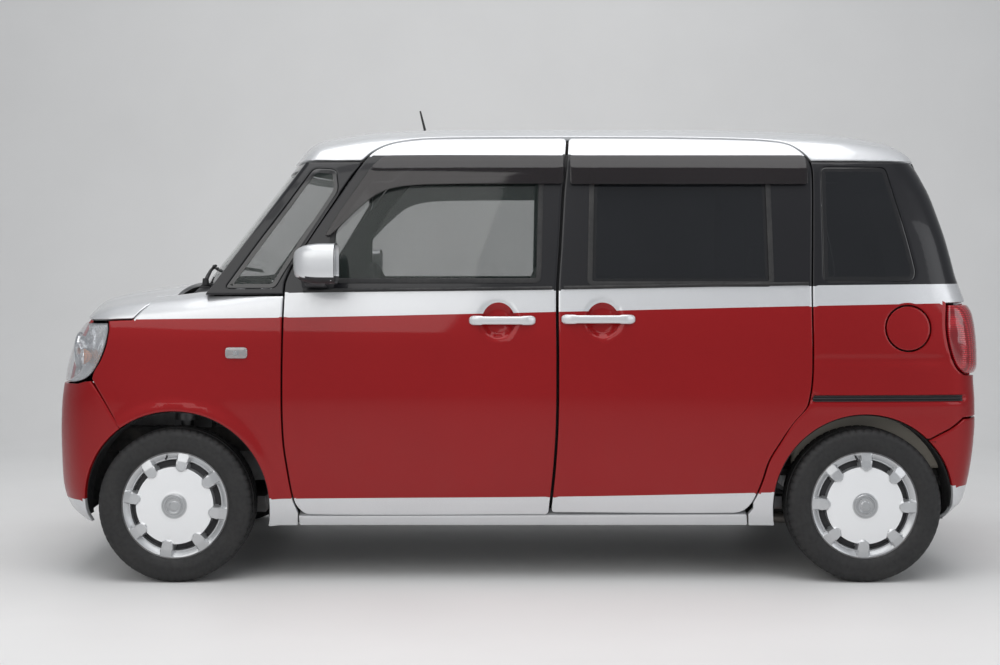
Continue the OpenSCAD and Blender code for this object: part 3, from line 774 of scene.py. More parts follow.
def make_materials():
    paint("red", (0.270, 0.0022, 0.0040), (0.180, 0.0012, 0.0022), (0.48, 0.010, 0.013), 0.35, 0.35, 0.40, coat=0.5, spec=0.2)
    paint("silver", (0.64, 0.65, 0.665), (0.50, 0.51, 0.525), (0.92, 0.93, 0.95), 0.5, 0.55, 0.38)
    paint("black", (0.009, 0.009, 0.011), (0.006, 0.006, 0.007), (0.02, 0.02, 0.025), 0.3, 0.0, 0.30, coat=0.35, dirt=False, spec=0.3)
    paint("black_satin", (0.014, 0.014, 0.016), (0.008, 0.008, 0.009), (0.03, 0.03, 0.035), 0.2, 0.0, 0.5, coat=0.15, dirt=False)
    paint("wheel_silver", (0.50, 0.51, 0.52), (0.38, 0.39, 0.40), (0.9, 0.9, 0.92), 0.5, 0.70, 0.34, coat=0.7, dirt=False)
    paint("wheel_silver2", (0.40, 0.41, 0.42), (0.30, 0.31, 0.32), (0.8, 0.8, 0.82), 0.5, 0.8, 0.36, coat=0.7, dirt=False)
    paint("wheel_white", (0.80, 0.81, 0.82), (0.60, 0.61, 0.62), (0.95, 0.95, 0.96), 0.4, 0.10, 0.36, coat=0.6, dirt=False)
    plastic("trim", (0.016, 0.016, 0.018), 0.62)
    plastic("trim_grey", (0.16, 0.155, 0.15), 0.6, wear=0.08)
    plastic("trim_beige", (0.36, 0.33, 0.28), 0.6, wear=0.06)
    plastic("piano", (0.012, 0.012, 0.013), 0.14, grain=1500, bump=0.03, wear=0.03)
    plastic("headliner", (0.50, 0.48, 0.44), 0.9, grain=1400, bump=0.3, wear=0.08)
    plastic("reflector", (0.82, 0.83, 0.85), 0.14, grain=300, bump=0.08, metal=1.0, wear=0.02)
    plastic("bezel", (0.52, 0.53, 0.54), 0.22, grain=500, bump=0.04, metal=0.9, wear=0.04)
    plastic("plate_grey", (0.55, 0.55, 0.54), 0.5, grain=700, bump=0.1)
    rubbery("rubber", (0.012, 0.012, 0.013), 0.6, 0.12)
    rubbery("tyre", (0.010, 0.010, 0.0105), 0.62, 0.05)
    n = plastic("chrome", (0.80, 0.81, 0.82), 0.09, grain=200, bump=0.02, metal=1.0, wear=0.04)
    glass("glass_clear", (0.030, 0.042, 0.038), 0.26)
    glass("glass_dark", (0.010, 0.011, 0.013), 0.80)
    glass("visor", (0.016, 0.013, 0.014), 0.72, 0.04)
    glass("lens_clear", (0.62, 0.64, 0.67), 0.20, 0.01)
    glass("bulb", (0.75, 0.76, 0.78), 0.5, 0.02)
    n = N("frit", (0.008, 0.008, 0.009), 0.12)
    n.to(n.map(n.noise(60, 3), 0.3, 0.7, 0.08, 0.2), "Roughness")
    n.to(n.bump(n.voro(700), 0.05, 0.0003), "Normal")
    n.b.inputs["Coat Weight"].default_value = 0.5
    for nm, c, e in (("lens_red", (0.42, 0.006, 0.014), 0.10), ("lens_amber", (0.75, 0.22, 0.02), 0.14), ("lens_white", (0.62, 0.60, 0.60), 0.12)):
        n = N(nm, c, e)
        n.b.inputs["Coat Weight"].default_value = 1.0
        n.b.inputs["Coat Roughness"].default_value = 0.02
        n.b.inputs["Subsurface Weight"].default_value = 0.15
        n.b.inputs["Subsurface Radius"].default_value = (0.02, 0.004, 0.004)
        # moulded optic ribs seen through a smooth outer face; their crests are coloured lighter and their troughs
        # darker, as painted light and shade on the ribs
        w = n.add("ShaderNodeTexWave", bands_direction="Z")
        w.inputs["Scale"].default_value = 42
        n.link(n.tc.outputs["Object"], w.inputs["Vector"])
        w2 = n.add("ShaderNodeTexWave", bands_direction="X")
        w2.inputs["Scale"].default_value = 30
        n.link(n.tc.outputs["Object"], w2.inputs["Vector"])
        h = n.math("MULTIPLY", w.outputs["Fac"], w2.outputs["Fac"])
        n.to(n.mix(h, tuple(x * 0.45 for x in c), tuple(min(1, x * 1.35 + 0.01) for x in c)), "Base Color")
        n.to(n.bump(h, 0.3, 0.002), "Normal")
        n.to(n.map(n.noise(50, 3), 0.3, 0.7, e, e + 0.08), "Roughness")
    cloth("cloth", (0.30, 0.285, 0.26), (0.17, 0.16, 0.145))
    cloth("cloth_dark", (0.085, 0.082, 0.08), (0.04, 0.04, 0.04))
    cloth("carpet", (0.055, 0.053, 0.05), (0.02, 0.02, 0.02), 700)
    under("chassis", (0.022, 0.022, 0.023), 0.12)
    under("steel", (0.20, 0.20, 0.205), 0.4, 0.45, 0.8)
    under("alloy", (0.36, 0.36, 0.37), 0.0, 0.5, 0.9)
    under("exhaust", (0.28, 0.26, 0.24), 0.7, 0.5, 0.8)
    under("tank", (0.025, 0.025, 0.027), 0.0, 0.65, 0.0)
    under("brake", (0.33, 0.32, 0.31), 0.55, 0.3, 0.9)
    rubbery("liner", (0.010, 0.010, 0.011), 0.85, 0.10)
    # dotted dial face material
    n = N("dial", (0.02, 0.02, 0.022), 0.2)
    r = n.voro(60)
    n.to(n.ramp(r, [(0.0, (0.6, 0.62, 0.64)), (0.06, (0.03, 0.03, 0.035))]), "Base Color")
    n.to(n.map(n.noise(50, 3), 0.3, 0.7, 0.12, 0.2), "Roughness")


def dress_cad():
    """Node materials on the CAD nodes that stay in view."""
    which = {"floor_pan": "chassis", "engine": "alloy", "front_suspension": "steel", "rear_axle": "steel", "fuel_tank": "tank",
             "exhaust": "exhaust", "left_knuckle": "steel", "right_knuckle": "steel", "dashboard": "trim",
             "front_plate_bracket": "trim", "wipers": "trim", "steering_wheel": "trim"}
    for o in list(bpy.context.scene.objects):
        if o.type == "MESH" and o.name in which:
            o.data.materials.clear()
            o.data.materials.append(MATS[which[o.name]])


for _n in ("Cube", "Light", "Camera"):
    _o = bpy.data.objects.get(_n)
    if _o is not None:
        bpy.data.objects.remove(_o, do_unlink=True)
make_materials()


# ------------------------------------------------------------------ outlines in side view (y, z) mm
DF = [[-751, 256], [-772, 290], [-793, 405], [-807, 510], [-812, 676], [-809, 946], [-807, 1023], [-804, 1067],
      [-789, 1105], [-761, 1160], [-730, 1209], [-677, 1292], [-624, 1372], [-571, 1452], [-527, 1513], [-501, 1539],
      [-463, 1562], [-419, 1577], [-353, 1588], [-259, 1594], [200, 1597], [193, 1514], [182, 1408], [169, 1196],
      [159, 1039], [160, 779], [158, 571], [149, 415], [132, 248], [124, 240], [-722, 240]]
DS = [[142, 248], [159, 415], [168, 571], [170, 779], [169, 1039], [179, 1196], [192, 1408], [203, 1514], [210, 1597],
      [585, 1595], [826, 1590], [945, 1583], [1006, 1571], [1048, 1543], [1074, 1513], [1084, 1465], [1077, 1246],
      [1069, 1010], [1068, 775], [1064, 704], [1054, 646], [1045, 622], [995, 563], [948, 493], [913, 434], [890, 363],
      [872, 316], [854, 281], [831, 257], [796, 246]]
GF = [[-646, 1074], [98, 1074], [110, 1498], [-462, 1498], [-560, 1380], [-640, 1255]]
GS = [[279, 1062], [929, 1062], [924, 1492], [291, 1492]]
GQ = [[-1024, 1046], [-842, 1046], [-806, 1110], [-622, 1400], [-632, 1478], [-716, 1484]]
GR = [[1114, 1072], [1440, 1072], [1446, 1116], [1356, 1486], [1118, 1486]]
FY, RY, WZ = -1197.5, 1257.5, 275.0
BELT_LO = Curve(mm([(-1640, 930), (-1350, 937), (-807, 944), (155, 964), (1067, 985), (1601, 995)]))
BELT_HI = Curve(mm([(-1640, 1024), (-1092, 1024), (-810, 1031), (102, 1042), (921, 1056), (1588, 1063)]))
SKIRT = Curve(mm([(-1640, 270), (-849, 298), (137, 306), (946, 322), (1700, 345)]))
RED, SIL, BLK = 0, 1, 2


def line_of(c, y0, y1, n=12):
    return [(y, float(c(y / 1000)) * 1000) for y in np.linspace(y0, y1, n)]


def pick_door(c):
    y, z = c[:, 0], c[:, 1]
    out = np.full(len(c), RED)
    out[z > BELT_LO(y)] = SIL
    out[z > BELT_HI(y)] = BLK
    out[z > 1.5285] = SIL
    out[z < SKIRT(y)] = SIL
    for cy, cz in ((-0.046, 0.937), (0.325, 0.937)):
        out[np.hypot((y - cy) / 0.058, (z - cz) / 0.061) < 1.0] = RED
    return out


def cup_line(cy, cz):
    return [(cy * 1000 + 58 * math.cos(t), cz * 1000 + 61 * math.sin(t)) for t in np.linspace(0, 2 * math.pi, 49)]


def dish(cy, cz, r, depth):
    def go(q, s):
        d = np.hypot(q[:, 0] - cy, (q[:, 1] - cz) * 0.98) / r
        t = np.clip(1 - d, 0, 1)
        return depth * np.clip(t / 0.36, 0, 1) ** 2 * (3 - 2 * np.clip(t / 0.36, 0, 1))
    return go


def build_doors():
    ms = map_side(f_side)
    body_mats = ["red", "silver", "black"]
    g = 0.014
    lines = [line_of(BELT_LO, -830, 190), line_of(BELT_HI, -830, 190), line_of(SKIRT, -830, 160), [(-560, 1528.5), (220, 1528.5)], cup_line(-0.046, 0.937)]
    o = outline(DF, r=0.018)
    obs = panel("front_door_skin", [o], ms, f_side, body_mats, pick_door, lines, thick=0.017, roll=0.0022, grid=g,
                body=("left_front_door", "right_front_door"), holes=[outline(GF, r=0.02)],
                bump=dish(-0.046, 0.934, 0.068, 0.017))
    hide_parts("left_front_door")
    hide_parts("right_front_door")
    lines = [line_of(BELT_LO, 100, 1110), line_of(BELT_HI, 100, 1110), line_of(SKIRT, 100, 1000), [(150, 1528.5), (1100, 1528.5)], cup_line(0.325, 0.937)]
    obs = panel("sliding_door_skin", [outline(DS, r=0.016)], ms, f_side, body_mats, pick_door, lines, thick=0.017,
                roll=0.0022, grid=g, body="body", holes=[outline(GS, r=0.025)],
                bump=dish(0.325, 0.937, 0.068, 0.017))
    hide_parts("sliding_doors")
    # inner door cards, as deep as the real door
    inn = [[-722, 300], [-742, 420], [-752, 560], [-756, 900], [-748, 1020], [110, 1030], [112, 780], [108, 560], [98, 300], [60, 276], [-690, 276]]
    panel("front_door_card", [outline(inn, r=0.03)], ms, f_side, ["trim", "cloth_dark"],
          lambda c: ((c[:, 1] > 0.62) & (c[:, 1] < 0.86) & (c[:, 0] > -0.6) & (c[:, 0] < 0.0)).astype(int),
          [[(-600, 620), (0, 620)], [(-600, 860), (0, 860)], [(-600, 620), (-600, 860)], [(0, 620), (0, 860)]],
          thick=0.055, roll=0.006, grid=0.03, body=("left_front_door", "right_front_door"), offset=-0.034,
          mirror=True)
    ins = [[190, 300], [200, 560], [208, 1020], [1020, 1036], [1022, 700], [960, 600], [880, 470], [840, 330], [800, 280], [200, 280]]
    panel("sliding_door_card", [outline(ins, r=0.03)], ms, f_side, ["trim"], thick=0.055, roll=0.006, grid=0.035,
          body="body", offset=-0.034)
    # rubber run round the glass
    for nm, g2, bd in (("front_door", GF, ("left_front_door", "right_front_door")), ("sliding_door", GS, "body")):
        outer = outline(g2, r=0.02)
        panel(nm + "_seal", [push(outer, -0.009)], ms, f_side, ["rubber"], thick=0.02, roll=0.0022, grid=0.03, body=bd,
              offset=0.0022, holes=[push(outer, 0.010)], back=False)


def build_pillars():
    """Black cover between the screen edge and the quarter panel."""
    zs = np.linspace(1.030, 1.503, 28)
    A = on_front(f_screen, [(634 - (max(z, 1.085) - 1.072) / 0.433 * 48, max(z, 1.085) * 1000) for z in zs])
    k = int(np.argmax(zs > 1.085))
    d = (A[k + 3] - A[k]) / (A[k + 3][2] - A[k][2])
    for i in range(k):
        A[i] = A[k] + d * (zs[i] - A[k][2])
    B = on_side(f_side, [((-1.090 + (z - 1.026) / 0.477 * 0.355) * 1000 + 4, z * 1000) for z in zs])
    for s, side_ in ((1, "left"), (-1, "right")):
        V, F = [], []
        for off in (0.0, 0.012):
            for i in range(len(zs)):
                for t in np.linspace(0, 1, 8):
                    p = A[i] * (1 - t) + B[i] * t + np.array([0.7, -0.7, 0.0]) * (0.007 * math.sin(math.pi * t) - off - 0.002)
                    V.append((p[0] * s, p[1], p[2]))
        n = len(zs) * 8
        for i in range(len(zs) - 1):
            for j in range(7):
                a = i * 8 + j
                F.append((a, a + 1, a + 9, a + 8))
                F.append((n + a + 8, n + a + 9, n + a + 1, n + a))
            F.append((i * 8, i * 8 + 8, n + i * 8 + 8, n + i * 8))
            F.append((i * 8 + 7, n + i * 8 + 7, n + i * 8 + 15, i * 8 + 15))
        for j in range(7):
            F.append((j, n + j, n + j + 1, j + 1))
            e = (len(zs) - 1) * 8 + j
            F.append((e, e + 1, n + e + 1, n + e))
        fix_normals(mesh_object(side_ + "_screen_pillar_cover", V, F, ["black"], [0] * len(F), smooth=50, body="body"))


def build_glass():
    ms = map_side(f_side)
    def frit(poly, w):
        p = push(poly, w)
        return lambda c: (~inside(p, c)).astype(int)
    def pane(name, pts, body, mat, w=0.012, off=-0.006, mp=ms, f=f_side, thick=0.005, r=0.022, mirror=True):
        o = push(outline(pts, r=r), 0.0015)
        ln = [list(map(tuple, np.vstack([push(o, w), push(o, w)[:1]]) * 1000))]
        return panel(name, [o], mp, f, [mat, "frit"], frit(o, w), ln, thick=thick, roll=0.0012, grid=0.03, body=body,
                     offset=off, mirror=mirror)
    obs = pane("front_door_glass", GF, ("left_front_door", "right_front_door"), "glass_clear", 0.008)
    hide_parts("left_door_glass")
    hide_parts("right_door_glass")
    obs = pane("sliding_door_glass", GS, "body", "glass_dark", 0.02)
    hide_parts("side_glass")
    pane("rear_quarter_glass", GR, "body", "glass_dark", 0.016, off=-0.002)
    pane("front_quarter_glass", GQ, "body", "glass_clear", 0.016, off=-0.002)
    WSP = [(-634, 1072), (-586, 1505), (586, 1505), (634, 1072), (560, 1062), (300, 1060), (0, 1060), (-300, 1060), (-560, 1062)]
    o = outline(WSP, r=0.03)
    m = map_front(f_screen)
    def fr(c):
        return (~inside(push(o, 0.028), c)).astype(int)
    w = panel("windscreen_glass", [o], m, f_screen, ["glass_clear", "frit"], fr,
              [list(map(tuple, np.vstack([push(o, 0.028), push(o, 0.028)[:1]]) * 1000))], thick=0.006, roll=0.0015, grid=0.03,
              body="body", mirror=False, offset=-0.004)
    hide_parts("windscreen")
    TWP = [(-484, 1040), (484, 1040), (438, 1452), (-438, 1452)]
    o2 = push(outline(TWP, r=0.035), 0.001)
    mb = map_back(f_tail)
    w = panel("tailgate_glass_pane", [o2], mb, f_tail, ["glass_dark", "frit"], lambda c: (~inside(push(o2, 0.03), c)).astype(int),
              [list(map(tuple, np.vstack([push(o2, 0.03), push(o2, 0.03)[:1]]) * 1000))], thick=0.005, roll=0.0015, grid=0.03,
              body="tailgate", mirror=False, offset=-0.002)
    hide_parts("tailgate_glass")
    # smoked visors over the side windows
    vf = [(-668, 1232), (-630, 1296), (-560, 1402), (-500, 1485), (-462, 1519), (-430, 1527), (188, 1527), (186, 1421), (-280, 1418),
          (-380, 1412), (-440, 1400), (-490, 1376), (-560, 1318), (-612, 1266), (-645, 1234)]
    vs = [(212, 1527), (1052, 1527), (1066, 1515), (1066, 1419), (212, 1419)]
    panel("front_visor", [outline(vf, r=0.012)], ms, f_side, ["visor"], thick=0.003, roll=0.0012, grid=0.02,
          body=("left_front_door", "right_front_door"), offset=0.0165, bump=lambda q, s: 0.011 * np.clip((q[:, 1] - 1.47) / 0.057, 0, 1) ** 2)
    panel("sliding_visor", [outline(vs, r=0.012)], ms, f_side, ["visor"], thick=0.003, roll=0.0012, grid=0.02, body="body",
          offset=0.0165, bump=lambda q, s: 0.011 * np.clip((q[:, 1] - 1.47) / 0.057, 0, 1) ** 2)


# end wrap: panel coordinates (0.6 * angle from the end direction, z); works across the middle
def map_end(f, cy, sgn, r0=1.5):
    def go(q):
        a = q[:, 0] / 0.6
        d = np.column_stack([np.sin(a), sgn * np.cos(a), np.zeros(len(q))])
        c = np.column_stack([np.zeros(len(q)), np.full(len(q), cy), q[:, 1]])
        return ray_in(f, c, d, r0)
    return go


def ray_in(f, c, d, r0, r1=0.05, steps=80):
    n = len(c)
    t = np.linspace(r0, r1, steps)
    lo, hi = np.full(n, r0), np.full(n, r1)
    found = np.zeros(n, bool)
    for k in range(1, steps):
        v = f(c + d * t[k])
        new = (~found) & (v <= 0)
        lo[new], hi[new] = t[k - 1], t[k]
        found |= new
    for _ in range(24):
        m = (lo + hi) / 2
        ins = f(c + d * m[:, None]) <= 0
        hi = np.where(ins, m, hi)
        lo = np.where(ins, lo, m)
    return c + d * ((lo + hi) / 2)[:, None]


def end_of(p, cy, sgn):
    p = np.atleast_2d(np.asarray(p, float))
    return np.column_stack([0.6 * np.arctan2(p[:, 0], sgn * (p[:, 1] - cy)), p[:, 2]])


def map_gno(f, C, axis, H, r0=2.2):
    """Rays from C through a plane at distance H along axis; panel coordinates are on that plane."""
    C = np.array(C, float)
    def go(q):
        if axis == "z":
            d = np.column_stack([q[:, 0] - C[0], q[:, 1] - C[1], np.full(len(q), H)])
        else:
            s = 1 if axis == "y" else -1
            d = np.column_stack([q[:, 0] - C[0], np.full(len(q), s * H), q[:, 1] - C[2]])
        d = d / np.linalg.norm(d, axis=1)[:, None]
        return ray_in(f, np.tile(C, (len(q), 1)), d, r0, 0.1, 120)
    return go


def gno_of(p, C, axis, H):
    p = np.atleast_2d(np.asarray(p, float)) - np.array(C, float)
    if axis == "z":
        k = H / p[:, 2]
        return np.column_stack([p[:, 0] * k + C[0], p[:, 1] * k + C[1]])
    s = 1 if axis == "y" else -1
    k = H / (s * p[:, 1])
    return np.column_stack([p[:, 0] * k + C[0], p[:, 2] * k + C[2]])


def on_side(f, pts):
    return map_side(f)(np.array(pts, float) / 1000)


def on_top(f, pts):
    return map_top(f)(np.array(pts, float) / 1000)


def on_back(f, pts):
    return map_back(f)(np.array(pts, float) / 1000)


def on_front(f, pts):
    return map_front(f)(np.array(pts, float) / 1000)


def arc_pts(cy, r, a0, a1, n=36):
    return [(cy + r * math.cos(math.radians(a)), WZ + r * math.sin(math.radians(a))) for a in np.linspace(a0, a1, n)]


def resample(p, step=0.009, closed=True):
    """Keeps corners; adds points so that no gap is over step."""
    p = np.asarray(p, float)
    out = []
    n = len(p)
    for i in range(n if closed else n - 1):
        a, b = p[i], p[(i + 1) % n]
        L = np.linalg.norm(b - a)
        m = max(int(round(L / step)), 1)
        out += [a + (b - a) * k / m for k in range(m)]
    out = np.array(out)
    d = np.linalg.norm(out - np.roll(out, 1, axis=0), axis=1)
    out = out[d > 5e-4]
    area = 0.5 * np.sum(out[:, 0] * np.roll(out[:, 1], -1) - np.roll(out[:, 0], -1) * out[:, 1])
    return out if area > 0 else out[::-1].copy()


def spline(pts, step=9):
    """Smooth open run through points, in their own units."""
    p = np.array(pts, float)
    n = len(p)
    out = []
    for i in range(n - 1):
        a, b = p[i], p[i + 1]
        L = np.linalg.norm(b - a)
        ta = (b - p[i - 1]) / max(np.linalg.norm(b - p[i - 1]), 1e-9) * L if i > 0 else b - a
        tb = (p[i + 2] - a) / max(np.linalg.norm(p[i + 2] - a), 1e-9) * L if i < n - 2 else b - a
        m = max(int(L / step), 1)
        for k in range(m):
            t = k / m
            out.append((2 * t**3 - 3 * t**2 + 1) * a + (t**3 - 2 * t**2 + t) * ta + (-2 * t**3 + 3 * t**2) * b + (t**3 - t**2) * tb)
    out.append(p[-1])
    return [tuple(q) for q in out]


CYR, CYF = 0.9, -1.0
NOSE_C, NOSE_H = (0.0, -1.28, 0.5), 0.6
TAIL_C, TAIL_H = (0.0, 0.7, 0.95), 1.0
ROOF_C, ROOF_H = (0.0, 0.3, 0.5), 1.2


def pick_quarter(c3):
    y, z = c3[:, 1], c3[:, 2]
    out = np.full(len(c3), RED)
    out[z > BELT_LO(y)] = SIL
    out[z > BELT_HI(y)] = BLK
    out[(z < SKIRT(y)) & (y < 1.2)] = SIL
    return out


def build_quarters():
    f = f_tail
    mp = map_end(f, CYR, 1)
    door = spline([(862, 283), (879, 318), (897, 366), (920, 437), (955, 496), (1001, 568), (1051, 624), (1061, 648), (1070, 706),
                   (1074, 776), (1075, 1010), (1083, 1246), (1090, 1465), (1084, 1503)])
    lamp = spline([(1553, 996), (1549, 897), (1564, 815), (1586, 763), (1617, 737)])
    P = []
    P.append(on_side(f, [(846, 240), (862, 262)] ))
    P.append(on_side(f, door))
    P.append(on_side(f, [(1200, 1503), (1300, 1503), (1400, 1503), (1440, 1503)]))
    P.append(on_back(f, [(506, 1503)] + [(506 + t * 20, 1490 - t * 240) for t in np.linspace(0, 1, 12)] + [(526 + t * 28, 1250 - t * 250) for t in np.linspace(0, 1, 12)]))
    P.append(on_side(f, lamp))
    P.append(on_back(f, [(562, 731), (566, 592)]))
    P.append(on_side(f, [(1612, 587), (1563, 549), (1491, 513)]))
    P.append(on_side(f, arc_pts(RY, 325, 47, 194)))
    P.append(on_side(f, [(880, 197), (850, 197)]))
    P = np.vstack(P)
    q = resample(end_of(P, CYR, 1))
    # points along the foot of the quarter glass; not used
    g3 = on_side(f, spline([(1114, 1072), (1440, 1072)]) )
    glass = outline(GR, r=0.022) * 1000
    gq = end_of(on_side(f, glass[::-1]), CYR, 1)
    gq = resample(gq)
    fl = [(1413 + 84 * math.cos(t), 905 + 84 * math.sin(t)) for t in np.linspace(0, 2 * math.pi, 72, endpoint=False)]
    fq = resample(end_of(on_side(f, fl), CYR, 1), 0.004)

    def to3(c):
        return mp(c)

    def pick(c):
        s = to3(c)
        out = pick_quarter(s)
        groove = (s[:, 2] > 0.645) & (s[:, 2] < 0.667) & (s[:, 1] > 1.066) & (s[:, 1] < 1.612) & (np.abs(s[:, 0]) > 0.6)
        out[groove] = 3
        return out

    def bump(q2, s):
        z, y = s[:, 2], s[:, 1]
        t = np.clip(1 - np.abs(z - 0.656) / 0.0135, 0, 1)
        e = np.clip((y - 1.060) / 0.012, 0, 1) * np.clip((1.618 - y) / 0.012, 0, 1)
        deep = 0.012 * np.clip(t * 3, 0, 1) * e
        # soft ledge under the rail and the swage above it
        ledge = 0.004 * np.exp(-((z - 0.628) / 0.018) ** 2) * e
        swage = 0.0035 * np.exp(-((z - 0.792) / 0.012) ** 2) * np.clip((y - 1.06) / 0.03, 0, 1) * np.clip((1.56 - y) / 0.03, 0, 1)
        return deep - ledge + swage
    def lines3(c, y0, y1, zoff=0.0):
        pts = on_side(f, [(y, float(c(y / 1000)) * 1000 + zoff) for y in np.linspace(y0, y1, 24)])
        return list(map(tuple, end_of(pts, CYR, 1) * 1000))
    def flat_line(z, y0, y1):
        pts = on_side(f, [(y, z) for y in np.linspace(y0, y1, 20)])
        return list(map(tuple, end_of(pts, CYR, 1) * 1000))
    lines = [lines3(BELT_LO, 1070, 1640), lines3(BELT_HI, 1070, 1620), lines3(SKIRT, 850, 1000),
             flat_line(645, 1066, 1612), flat_line(667, 1066, 1612), flat_line(642.5, 1060, 1616), flat_line(669.5, 1060, 1616),
             flat_line(656, 1066, 1612)]
    mats = ["red", "silver", "black", "trim"]
    g = 0.013
    a = panel("left_quarter_skin", [q], mp, f, mats, pick, lines, thick=0.014, roll=0.0022, grid=g, mirror=False,
              body="body", holes=[gq, fq], bump=bump)
    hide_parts("body_sides")
    b = panel("right_quarter_skin", [q], mp, f, mats, pick, lines, thick=0.014, roll=0.0022, grid=g, mirror=False,
              body="body", holes=[gq], bump=bump)
    b[0].data.transform(Matrix.Diagonal((-1, 1, 1, 1)))
    b[0].data.flip_normals()
    # filler flap
    fo = [(1413 + 78 * math.cos(t), 905 + 78 * math.sin(t)) for t in np.linspace(0, 2 * math.pi, 72, endpoint=False)]
    mq = np.array(fo) / 1000
    a = panel("filler_flap_skin", [mq], map_side(f), f, ["red"], thick=0.012, roll=0.002, grid=0.012, mirror=False,
              body="fuel_flap")
    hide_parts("fuel_flap")
    # pocket behind it
    ring = [(1413 + 84 * math.cos(t), 905 + 84 * math.sin(t)) for t in np.linspace(0, 2 * math.pi, 48, endpoint=False)]
    panel("filler_pocket", [np.array(ring) / 1000], map_side(f), f, ["trim"], thick=0.004, roll=0.001, grid=0.03, mirror=False,
          body="body", offset=-0.034)
    # front pillar and quarter window frame
    ap = [(-1090, 1027)] + [(-1090 + 355 * t, 1027 + 477 * t) for t in np.linspace(0.1, 1, 10)] + [(-539, 1504), (-577, 1456), (-630, 1375),
          (-683, 1295), (-736, 1212), (-767, 1163), (-795, 1107), (-810, 1068), (-813, 1027)]
    o = resample(np.array(ap) / 1000)
    panel("front_pillar_skin", [o], map_side(f_side), f_side, ["black"], thick=0.022, roll=0.0022, grid=0.018, body="body",
          holes=[outline(GQ, r=0.022)], offset=-0.0005)
    # sill
    si = [(-760, 197), (-760, 234), (136, 237), (790, 240), (840, 240), (846, 197)]
    panel("sill_skin", [outline(si, r=0.006)], map_side(f_side), f_side, ["silver"], thick=0.05, roll=0.004, grid=0.02, body="body",
          offset=0.0)
    # inner frame seen when the doors are open, and from the cabin
    out = [(-866, 215), (-866, 1020), (-842, 1030), (-735, 1250), (-560, 1480), (-515, 1548), (-400, 1566), (1000, 1566), (1110, 1530), (1108, 640), (1010, 600), (900, 460), (850, 300), (820, 215)]
    ha = [(-762, 262), (-770, 420), (-772, 1000), (-735, 1105), (-520, 1440), (-470, 1500), (-380, 1530), (96, 1536), (88, 1010), (86, 262)]
    hb = [(190, 262), (206, 1010), (240, 1526), (1000, 1520), (1030, 1470), (1036, 1010), (1030, 680), (940, 560), (870, 440), (820, 262)]
    def inner_depth(q2, s):
        return 0.100 - 0.052 * np.clip((q2[:, 1] - 0.98) / 0.06, 0, 1)
    panel("inner_frame", [outline(out, r=0.03)], map_side(f_side), f_side, ["black_satin"], thick=0.024, roll=0.004, grid=0.04,
          body="body", holes=[outline(ha, r=0.04), outline(hb, r=0.04)], bump=inner_depth)


